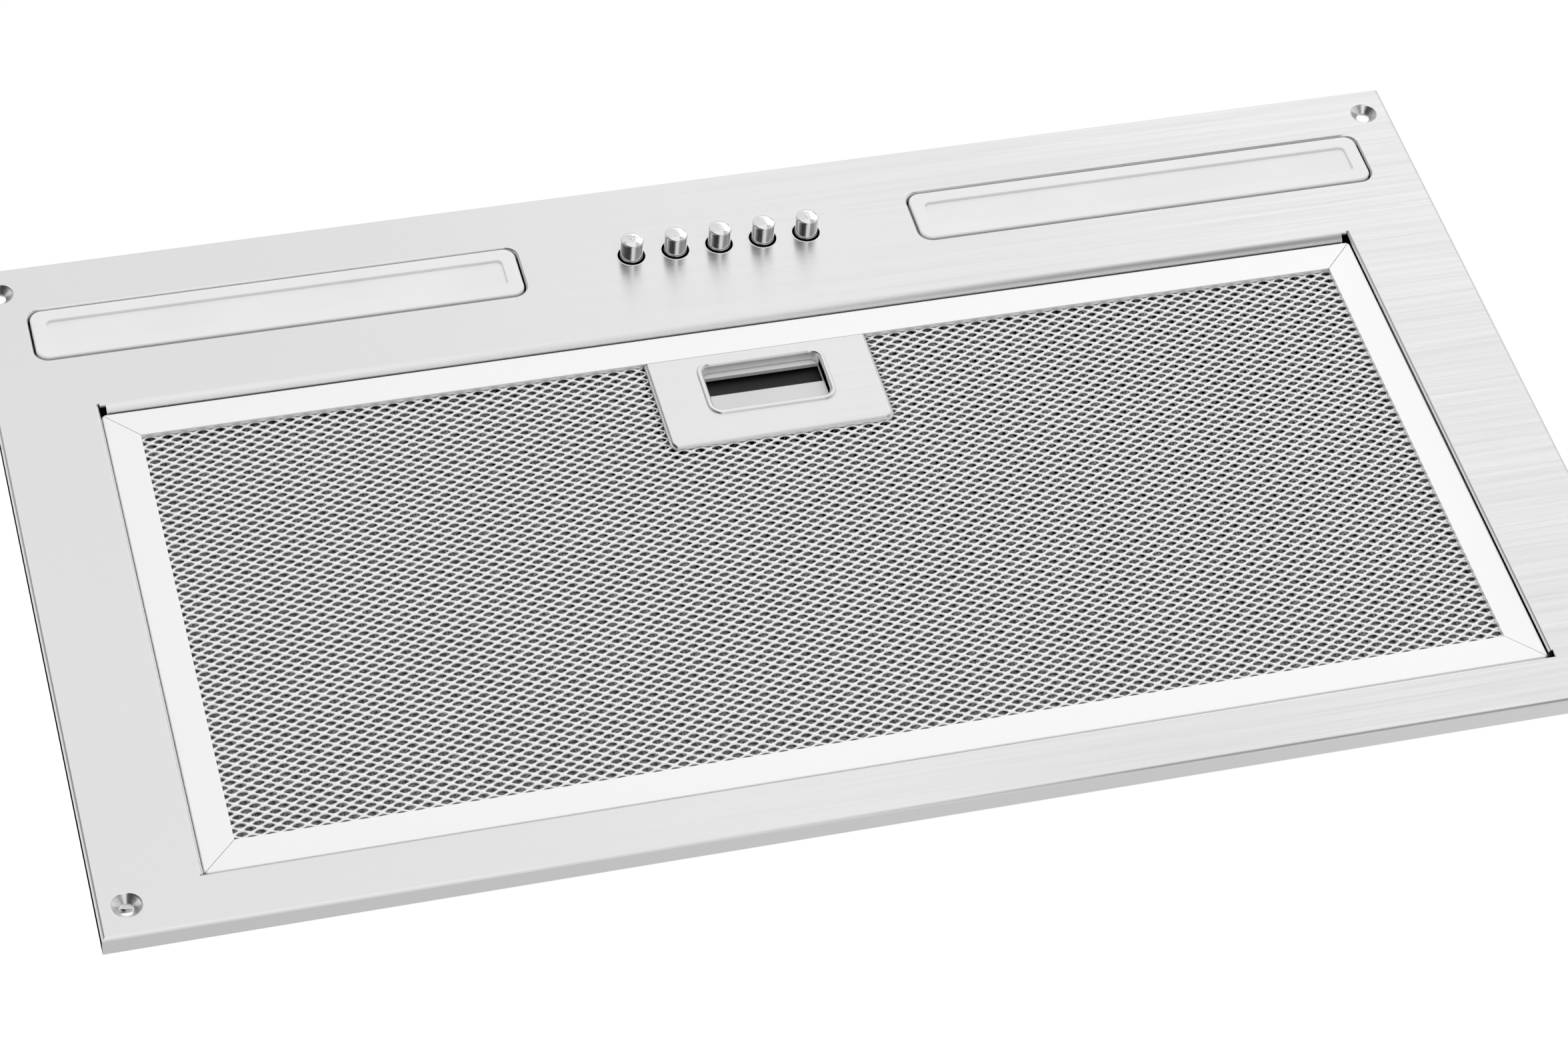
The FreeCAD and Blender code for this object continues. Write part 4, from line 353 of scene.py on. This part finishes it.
# The strips lie just above the floor and face up. Where two overlap, each has a height of its
# own, because a reflection doesn't add up lamps that lie at one height.
STRIPS = {       # middle in plan, size, depth below LIGHT_Z, power
    "strip_front": ((1.2, -4.9), (4.8, 7.0), 0.0, 28.0),
    "strip_side": ((2.3, -4.9), (3.2, 7.0), 0.03, 9.0),
    "strip_end": ((2.6, -4.9), (2.4, 7.0), 0.06, 14.0),
    "strip_back": ((0.05, 1.6), (1.8, 6.0), 0.0, 12.5),
}
LAMPS = {        # place, size, power; these don't show in reflections
    "under": ((0.0, -0.4, -3.0), (2.0, 2.0), 28.0),
    "over": ((0.6, -0.8, 2.2), (1.6, 1.6), 30.0),
}


def make_world():
    """A room that is white behind the photograph's view, and greyer towards the other side."""
    world = bpy.data.worlds.new("world")
    bpy.context.scene.world = world
    world.use_nodes = True
    tree = world.node_tree
    tree.nodes.clear()
    toward = add(tree, "ShaderNodeTexCoord").outputs["Generated"]
    side, height = [
        add(tree, "ShaderNodeVectorMath", {0: toward, 1: way}, operation="DOT_PRODUCT")
        .outputs["Value"] for way in (ROOM_SIDE, (0.0, 0.0, 1.0))]
    sky = ramp(tree, math_node(tree, "MULTIPLY_ADD", side, 0.5, 0.5), SKY_STOPS)
    edge = ramp(tree, math_node(tree, "MULTIPLY_ADD", side, 0.45, 0.45), HORIZON_STOPS)
    rise = add(tree, "ShaderNodeMapRange",
               {"Value": height, "From Min": HORIZON_FROM, "From Max": HORIZON_TO}).outputs[0]
    # Sockets 6, 7 and 2 are the colours of a Mix node.
    room = add(tree, "ShaderNodeMix", {"Factor": rise, 6: edge, 7: sky}, data_type="RGBA")
    rays = add(tree, "ShaderNodeLightPath").outputs
    seen = math_node(tree, "MAXIMUM", rays["Is Camera Ray"], rays["Is Glossy Ray"])
    seen = math_node(tree, "MAXIMUM", seen, rays["Is Transmission Ray"])
    backdrop = add(tree, "ShaderNodeBackground", {"Color": room.outputs[2], "Strength": 1.0})
    lit = add(tree, "ShaderNodeBackground", {"Color": WHITE, "Strength": WORLD_DIFFUSE})
    mixed = add(tree, "ShaderNodeMixShader",
                {0: seen, 1: lit.outputs[0], 2: backdrop.outputs[0]})
    add(tree, "ShaderNodeOutputWorld", {"Surface": mixed.outputs[0]})


def area_light(name, place, target, size, power, glossy=True):
    data = bpy.data.lights.new(name, "AREA")
    data.shape = "RECTANGLE"
    data.size, data.size_y = size
    data.energy = power
    light = add_object(name, data)
    light.location = place
    light.rotation_mode = "QUATERNION"
    light.rotation_quaternion = (Vector(target) - Vector(place)).to_track_quat("-Z", "Y")
    light.visible_glossy = glossy
    light.visible_camera = False


def make_lights():
    for name, ((x, y), size, drop, power) in STRIPS.items():
        area_light(name, (x, y, LIGHT_Z - drop), (x, y, 0.0), size, power)
    for name, (place, size, power) in LAMPS.items():
        area_light(name, place, (0.0, 0.0, 0.0), size, power, glossy=False)


def stage_sheet(name, corners, z, material, glossy_only=False):
    """A flat sheet of the studio, given by its corners in plan."""
    mesh = bpy.data.meshes.new(name)
    mesh.from_pydata([(x, y, z) for x, y in corners], [], [tuple(range(len(corners)))])
    sheet = add_object(name, mesh)
    mesh.materials.append(material)
    if glossy_only:
        for kind in ("camera", "diffuse", "transmission", "volume_scatter", "shadow"):
            setattr(sheet, "visible_" + kind, False)


def card(name, plan, material):
    """A card that only reflections meet, to shade the metal beside the strips."""
    (left, front), (right, back) = plan
    corners = [(left, front), (right, front), (right, back), (left, back)]
    stage_sheet(name, corners, CARD_Z, material, glossy_only=True)


def make_stage():
    turns = [2 * math.pi * i / FLOOR_SIDES for i in range(FLOOR_SIDES)]
    edge = [(FLOOR_R * math.cos(turn), FLOOR_R * math.sin(turn)) for turn in turns]
    stage_sheet("floor", edge, FLOOR_Z, paper("floor_pale", 0.84, 0.87))
    card("card_left", CARD_LEFT, paper("card_dark", 0.015, 0.02))
    card("card_right", CARD_RIGHT, paper("card_grey", 0.08, 0.10))


# ---------------------------------------------------------------- expanded mesh

MESH_PITCH_X = 5.93 * MM
MESH_PITCH_Y = 3.53 * MM
MESH_HOLE_X = 3.85 * MM      # width of an opening
MESH_HOLE_FAR = 1.10 * MM    # arched edge from the opening's middle
MESH_HOLE_NEAR = 0.72 * MM   # pointed edge from the opening's middle
MESH_LEAN = 0.15 * MM        # the strands lean out at the arched edge
ARCH_POWER = 0.6             # curve of the arched edge
POINT_POWER = 0.85           # curve of the pointed edge
STRAND_BEVEL = 0.55          # where the bevel breaks, from the cell's edge to the opening's
STRAND_OUTER = 0.55 * MM     # thickness of the outer sheet's strands
STRAND_INNER = 0.5 * MM
CORE_DEPTH = 1.5 * MM        # behind the outer sheet
SECOND_DEPTH = 2.9 * MM
INNER_BACK = 0.6 * MM        # before the node's back
SECOND_SHIFT = (1.9 * MM, 0.8 * MM)
INNER_SHIFT = (0.7 * MM, 0.3 * MM)
FINE_SIDES = 12              # points round an opening
COARSE_SIDES = 6
OUTER_STRIPS = 3             # pieces that the outer sheet comes in


def hole_ring(count):
    """An opening of the mesh: arched on one side, blunt point on the other."""
    ring = []
    for i in range(count):
        turn = 2 * math.pi * i / count
        x = math.cos(turn)
        if math.sin(turn) >= 0:
            y = MESH_HOLE_NEAR * (1 - abs(x)) ** POINT_POWER
        else:
            y = -MESH_HOLE_FAR * (1 - x * x) ** ARCH_POWER
        ring.append((0.5 * MESH_HOLE_X * x, y))
    return ring


def cell_ring(count):
    """The rhombus round one opening, with as many points as the opening."""
    ring = []
    for i in range(count):
        turn = 2 * math.pi * i / count
        c, s = math.cos(turn), math.sin(turn)
        reach = 1.0 / (abs(c) + abs(s))
        ring.append((0.5 * MESH_PITCH_X * c * reach, 0.5 * MESH_PITCH_Y * s * reach))
    return ring


def mesh_template(count, thick):
    """Points and faces of one cell: a bevelled strand round its opening."""
    outer = cell_ring(count)
    hole = hole_ring(count)
    middle = [tuple(a * (1 - STRAND_BEVEL) + b * STRAND_BEVEL for a, b in zip(*pair))
              for pair in zip(outer, hole)]
    rings = ((outer, 0.0), (middle, 0.12), (hole, 0.45), (hole, 1.0), (outer, 1.0))
    points = [(x, y, rise * thick + 2 * MESH_LEAN * y / MESH_PITCH_Y)
              for ring, rise in rings for x, y in ring]
    faces = []
    for band in range(len(rings) - 1):
        for i in range(count):
            j = (i + 1) % count
            a, b = band * count, (band + 1) * count
            faces.append((a + i, a + j, b + j, b + i))
    return np.array(points), np.array(faces)


def behind_handle(x, y):
    """Whether a cell would run into the latch case, where the mesh is cut away."""
    low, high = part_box("latch_case")
    beside = low.x - MESH_PITCH_X / 2 < x < high.x + MESH_PITCH_X / 2
    return beside and y < high.y + MESH_PITCH_Y / 2


def mesh_cells(low, high, turned, shift):
    """Middles of the cells between two corners, each row half a cell on from the last."""
    sides = (high[0] - low[0], high[1] - low[1])
    across, along = sides[::-1] if turned else sides
    centres = []
    for row in range(int(along / (MESH_PITCH_Y / 2)) + 1):
        for column in range(int(across / MESH_PITCH_X) + 1):
            u = (column + 0.5 * (row % 2) + 0.25) * MESH_PITCH_X + shift[0]
            v = (row + 0.5) * MESH_PITCH_Y / 2 + shift[1]
            if u + MESH_PITCH_X / 2 > across or v + MESH_PITCH_Y / 2 > along:
                continue
            x, y = (low[0] + v, low[1] + u) if turned else (low[0] + u, low[1] + v)
            if not behind_handle(x, y):
                centres.append((x, y, 0.0))
    centres.sort()
    return np.array(centres)


def mesh_layer(name, corners, depth, thick, count, strips=1, turned=False, shift=(0.0, 0.0)):
    """A sheet of expanded metal between two corners; depth is its outer face."""
    points, faces = mesh_template(count, thick)
    if turned:
        points = points[:, (1, 0, 2)]
        faces = faces[:, ::-1]
    pieces = []
    for i, centres in enumerate(np.array_split(mesh_cells(*corners, turned, shift), strips)):
        placed = (points[None, :, :] + centres[:, None, :]).reshape(-1, 3)
        placed[:, 2] += depth
        first = (np.arange(len(centres)) * len(points))[:, None, None]
        pieces.append(quad_mesh(f"{name}_{i}", placed, (faces[None] + first).reshape(-1, 4)))
    return pieces


def make_mesh(materials):
    """The mesh pack: a fine outer sheet, a crossed sheet behind it and two coarse ones."""
    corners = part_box("filter_mesh_outer")
    near = corners[0].z
    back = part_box("filter_mesh_inner")[1].z
    outer = mesh_layer("filter_mesh_outer", corners, near, STRAND_OUTER, FINE_SIDES, OUTER_STRIPS)
    core = mesh_layer("filter_mesh_core", corners, near + CORE_DEPTH, STRAND_INNER, COARSE_SIDES,
                      turned=True)
    core += mesh_layer("filter_mesh_second", corners, near + SECOND_DEPTH, STRAND_INNER,
                       COARSE_SIDES, shift=SECOND_SHIFT)
    inner = mesh_layer("filter_mesh_inner", corners, back - INNER_BACK, STRAND_INNER,
                       COARSE_SIDES, shift=INNER_SHIFT)
    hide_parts("filter_mesh_outer")
    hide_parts("filter_mesh_core")
    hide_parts("filter_mesh_inner")
    for piece in outer + core + inner:
        dress(piece, materials, "mesh_aluminium", "filter")
    # The sheets behind the outer one take the darker copy of the aluminium: painted shade, where
    # they would lie in shadow.
    for piece in core + inner:
        piece.data.materials[0] = materials["mesh_painted_shade"]


# ---------------------------------------------------------------- painted shade in the front gap

GAP_SHADE_FROM, GAP_SHADE_TO = 0.02 * MM, 0.62 * MM      # before the filter's front rail
GAP_SHADE_NEAR, GAP_SHADE_DEEP = 0.5 * MM, 2.0 * MM      # above the rail's visible face
GAP_SHADE_ROUND = 0.15 * MM
GAP_SHADE_SHORT = 2 * MM                            # shorter than the rail at each end


def make_gap_shade(materials):
    """A strip of the dark rubber finish in the gap between the opening's front lip and the
    filter: painted shade, a dark piece where the gap is only in shadow.
    """
    low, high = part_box("filter_rail_front")
    back, front = low.y - GAP_SHADE_FROM, low.y - GAP_SHADE_TO
    near, deep = low.z + GAP_SHADE_NEAR, low.z + GAP_SHADE_DEEP
    profile = [(back, deep), (back, near + GAP_SHADE_ROUND), (back - GAP_SHADE_ROUND, near),
               (front + GAP_SHADE_ROUND, near), (front, near + GAP_SHADE_ROUND), (front, deep)]
    work = bmesh.new()
    ends = [[work.verts.new((x, y, z)) for y, z in profile]
            for x in (low.x + GAP_SHADE_SHORT, high.x - GAP_SHADE_SHORT)]
    work.faces.new(ends[0][::-1])
    work.faces.new(ends[1])
    for i in range(len(profile)):
        j = (i + 1) % len(profile)
        work.faces.new((ends[0][i], ends[0][j], ends[1][j], ends[1][i]))
    bmesh.ops.recalc_face_normals(work, faces=work.faces)
    mesh = bpy.data.meshes.new("front_gap_shade")
    work.to_mesh(mesh)
    work.free()
    dress(add_object("front_gap_shade", mesh), materials, "rubber", "root")


# ---------------------------------------------------------------- buttons

BUTTON_R = 4.0 * MM
BUTTON_EDGE_R = 0.45 * MM
DOME_H = 0.75 * MM
DOME_R = (BUTTON_R ** 2 + DOME_H ** 2) / (2 * DOME_H)
DOME_RINGS = 16
EDGE_RINGS = 12
STEM_R = 2.5 * MM
SHOULDER_UP = 13.5 * MM      # shoulder above the cap's outer end
SHOULDER_BEVEL = 0.2 * MM
CENTRE_R = 0.00001           # a ring this small closes the dome
SHADE_STEP = 0.06 * MM       # a ring this close keeps the rounded edge's shading off the side
BUTTON_SIDES = 96

# Outlines in millimetres: (outwards, upwards) from the button's side, and from the hole's edge.
BUTTON_BEAD = ((0.0, -0.60), (0.0, -0.54), (0.05, -0.48), (0.08, -0.40), (0.08, -0.30),
               (0.05, -0.22), (0.0, -0.16))
HOLE_RIM = ((-0.12, 0.3), (-0.10, 0.0), (-0.04, -0.08), (0.10, -0.10), (0.24, -0.06),
            (0.36, 0.0))
HOLE_RIM_R = 5.0 * MM
HOLE_RIM_SIDES = 72

BUTTON_MARKS = {"light": None, "speed_3": "3", "speed_2": "2", "speed_1": "1", "off": "0"}
MARK_SIZE = 4.6 * MM
MARK_EDGE = 0.4 * MM         # longest edge of a mark that is laid over the dome
MARK_CUTS = 4                # rounds of cutting its edges
MARK_SINK = 0.02 * MM
MARK_BEVEL_STEPS = 2
DIGIT_HALF = 0.01 * MM       # half the thickness of a digit between its bevels
DIGIT_BEVEL = 0.09 * MM
LAMP_UNIT = MARK_SIZE / 9
LAMP_UP = 0.6                # middle of the symbol's glass, in units
LAMP_GLASS_R = 1.5
LAMP_GLASS_TURNS = range(-60, 241, 20)         # degrees; the glass is open at its foot
LAMP_CAP = ((0.7, -1.5), (0.5, -2.2))          # half width and height of each line
LAMP_RAYS = (0, 45, 90, 135, 180)
LAMP_RAY_R = (2.3, 3.3)
LAMP_STROKE = 0.7


def lathe(name, outline, x, y, sides):
    """A turned piece on an upright axis; the outline's points are (radius, height)."""
    points = []
    for radius, z in outline:
        for i in range(sides):
            turn = 2 * math.pi * i / sides
            points.append((x + radius * math.cos(turn), y + radius * math.sin(turn), z))
    quads = []
    for ring in range(len(outline) - 1):
        for i in range(sides):
            j = (i + 1) % sides
            a, b = ring * sides, (ring + 1) * sides
            quads.append((a + i, b + i, b + j, a + j))
    return quad_mesh(name, np.array(points), np.array(quads))


def dome_drop(radius):
    """How far the domed end falls back at a distance from its middle."""
    return DOME_R - math.sqrt(DOME_R ** 2 - radius ** 2)


def button_outline(low, high, face):
    """Domed end, rounded edge, side, bead, shoulder and stem, from the middle of the dome."""
    outline = [(CENTRE_R, low)]
    flat = BUTTON_R - BUTTON_EDGE_R
    for i in range(1, DOME_RINGS + 1):
        radius = flat * i / DOME_RINGS
        outline.append((radius, low + dome_drop(radius)))
    edge = low + dome_drop(flat)
    for i in range(1, EDGE_RINGS + 1):
        turn = math.pi / 2 * i / EDGE_RINGS
        out, up = BUTTON_EDGE_R * math.sin(turn), BUTTON_EDGE_R * (1 - math.cos(turn))
        outline.append((flat + out, edge + up))
    outline.append((BUTTON_R, edge + BUTTON_EDGE_R + SHADE_STEP))
    outline += [(BUTTON_R + out * MM, face + up * MM) for out, up in BUTTON_BEAD]
    shoulder = low + SHOULDER_UP
    outline += [(BUTTON_R, shoulder - SHOULDER_BEVEL), (BUTTON_R - SHOULDER_BEVEL, shoulder),
                (STEM_R, shoulder), (STEM_R, high)]
    return outline


def polyline(name, lines, width, bevel_steps):
    """Round strokes along lines of points, as a curve."""
    data = bpy.data.curves.new(name, "CURVE")
    data.dimensions = "3D"
    data.bevel_depth = width / 2
    data.bevel_resolution = bevel_steps
    data.use_fill_caps = True
    for line in lines:
        spline = data.splines.new("POLY")
        spline.points.add(len(line) - 1)
        for point, place in zip(spline.points, line):
            point.co = (*place, 1.0)
    return data


def lamp_symbol():
    """A generic bulb: a round glass, two lines for its cap and five rays."""
    def at(radius, degrees):
        turn = math.radians(degrees)
        return (radius * LAMP_UNIT * math.cos(turn),
                LAMP_UNIT * (LAMP_UP + radius * math.sin(turn)), 0.0)

    lines = [[at(LAMP_GLASS_R, degrees) for degrees in LAMP_GLASS_TURNS]]
    for half, up in LAMP_CAP:
        lines.append([(side * half * LAMP_UNIT, up * LAMP_UNIT, 0.0) for side in (-1, 1)])
    for degrees in LAMP_RAYS:
        lines.append([at(radius, degrees) for radius in LAMP_RAY_R])
    return polyline("mark_light", lines, LAMP_STROKE * LAMP_UNIT, MARK_BEVEL_STEPS)


def digit(text):
    data = bpy.data.curves.new("mark_" + text, "FONT")
    data.body = text
    data.size = MARK_SIZE
    data.align_x = "CENTER"
    data.align_y = "CENTER"
    data.extrude = DIGIT_HALF
    data.bevel_depth = DIGIT_BEVEL
    data.bevel_resolution = MARK_BEVEL_STEPS
    return data


def cut_long_edges(mesh, longest):
    """Divides long edges, so that the mesh can be laid over a curved face."""
    work = bmesh.new()
    work.from_mesh(mesh)
    for _ in range(MARK_CUTS):
        bmesh.ops.triangulate(work, faces=work.faces)
        edges = [edge for edge in work.edges if edge.calc_length() > longest]
        if edges:
            bmesh.ops.subdivide_edges(work, edges=edges, cuts=1)
    work.to_mesh(mesh)
    work.free()


def button_mark(word, x, y, low):
    """The mark of a button, laid over its domed end and read from below."""
    text = BUTTON_MARKS[word]
    mesh = as_mesh(digit(text) if text else lamp_symbol())
    cut_long_edges(mesh, MARK_EDGE)
    middle = [(min(v.co[i] for v in mesh.vertices) + max(v.co[i] for v in mesh.vertices)) / 2
              for i in range(2)]
    for vertex in mesh.vertices:
        across, up = vertex.co.x - middle[0], vertex.co.y - middle[1]
        fall = dome_drop(math.hypot(across, up))
        vertex.co = (x + across, y - up, low + fall - vertex.co.z + MARK_SINK)
    for polygon in mesh.polygons:
        polygon.use_smooth = True
    mesh.update()
    return add_object("button_mark_" + word, mesh)


def make_buttons(materials):
    """Each button's cap and mark, and the rounded edge that the punch leaves at its hole."""
    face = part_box("face_panel")[0].z
    rim_outline = [(HOLE_RIM_R + out * MM, face + up * MM) for out, up in HOLE_RIM]
    for word in BUTTON_MARKS:
        low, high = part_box("button_" + word)
        x, y = (low.x + high.x) / 2, (low.y + high.y) / 2
        outline = button_outline(low.z, high.z, face)
        cap = lathe("button_cap_" + word, outline, x, y, BUTTON_SIDES)
        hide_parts("button_" + word)
        rim = lathe("hole_rim_" + word, rim_outline, x, y, HOLE_RIM_SIDES)
        dress(rim, materials, "rail_aluminium", "root")
        dress(cap, materials, "button_chrome", "button_" + word)
        mark = button_mark(word, x, y, low.z)
        dress(mark, materials, "button_chrome", "button_" + word)


# ---------------------------------------------------------------- springs

SPRING_WIRE = 0.5 * MM
SPRING_TURNS = 4
SPRING_STEPS = 24            # points in one turn
SPRING_BEVEL_STEPS = 3


def helix(name, low, high, axis):
    """A wound spring that fills the box of its node, along one axis."""
    middle = [(a + b) / 2 for a, b in zip(low, high)]
    others = [i for i in range(3) if i != axis]
    radius = (high[others[0]] - low[others[0]]) / 2 - SPRING_WIRE / 2
    run = high[axis] - low[axis] - SPRING_WIRE
    steps = SPRING_TURNS * SPRING_STEPS
    line = []
    for i in range(steps + 1):
        turn = 2 * math.pi * i / SPRING_STEPS
        place = [0.0, 0.0, 0.0]
        place[axis] = low[axis] + SPRING_WIRE / 2 + run * i / steps
        place[others[0]] = middle[others[0]] + radius * math.cos(turn)
        place[others[1]] = middle[others[1]] + radius * math.sin(turn)
        line.append(place)
    return add_object(name, as_mesh(polyline(name, [line], SPRING_WIRE, SPRING_BEVEL_STEPS)))


def make_springs(materials):
    """Each spring is wound again as a wire helix that fills its node's box."""
    for word in BUTTON_MARKS:
        low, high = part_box("button_spring_" + word)
        spring = helix("spring_wire_" + word, low, high, 2)
        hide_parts("button_spring_" + word)
        dress(spring, materials, "spring_steel", "root")
        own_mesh(spring)
    low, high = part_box("latch_spring")
    spring = helix("spring_wire_latch", low, high, 1)
    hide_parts("latch_spring")
    dress(spring, materials, "spring_steel", "filter")
    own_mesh(spring)


# ---------------------------------------------------------------- the scene

make_camera()
make_stage()
make_world()
make_lights()
made_materials = make_materials()
dress_frame(made_materials)
make_mesh(made_materials)
make_gap_shade(made_materials)
make_buttons(made_materials)
make_springs(made_materials)
bpy.context.scene.view_settings.view_transform = "Standard"
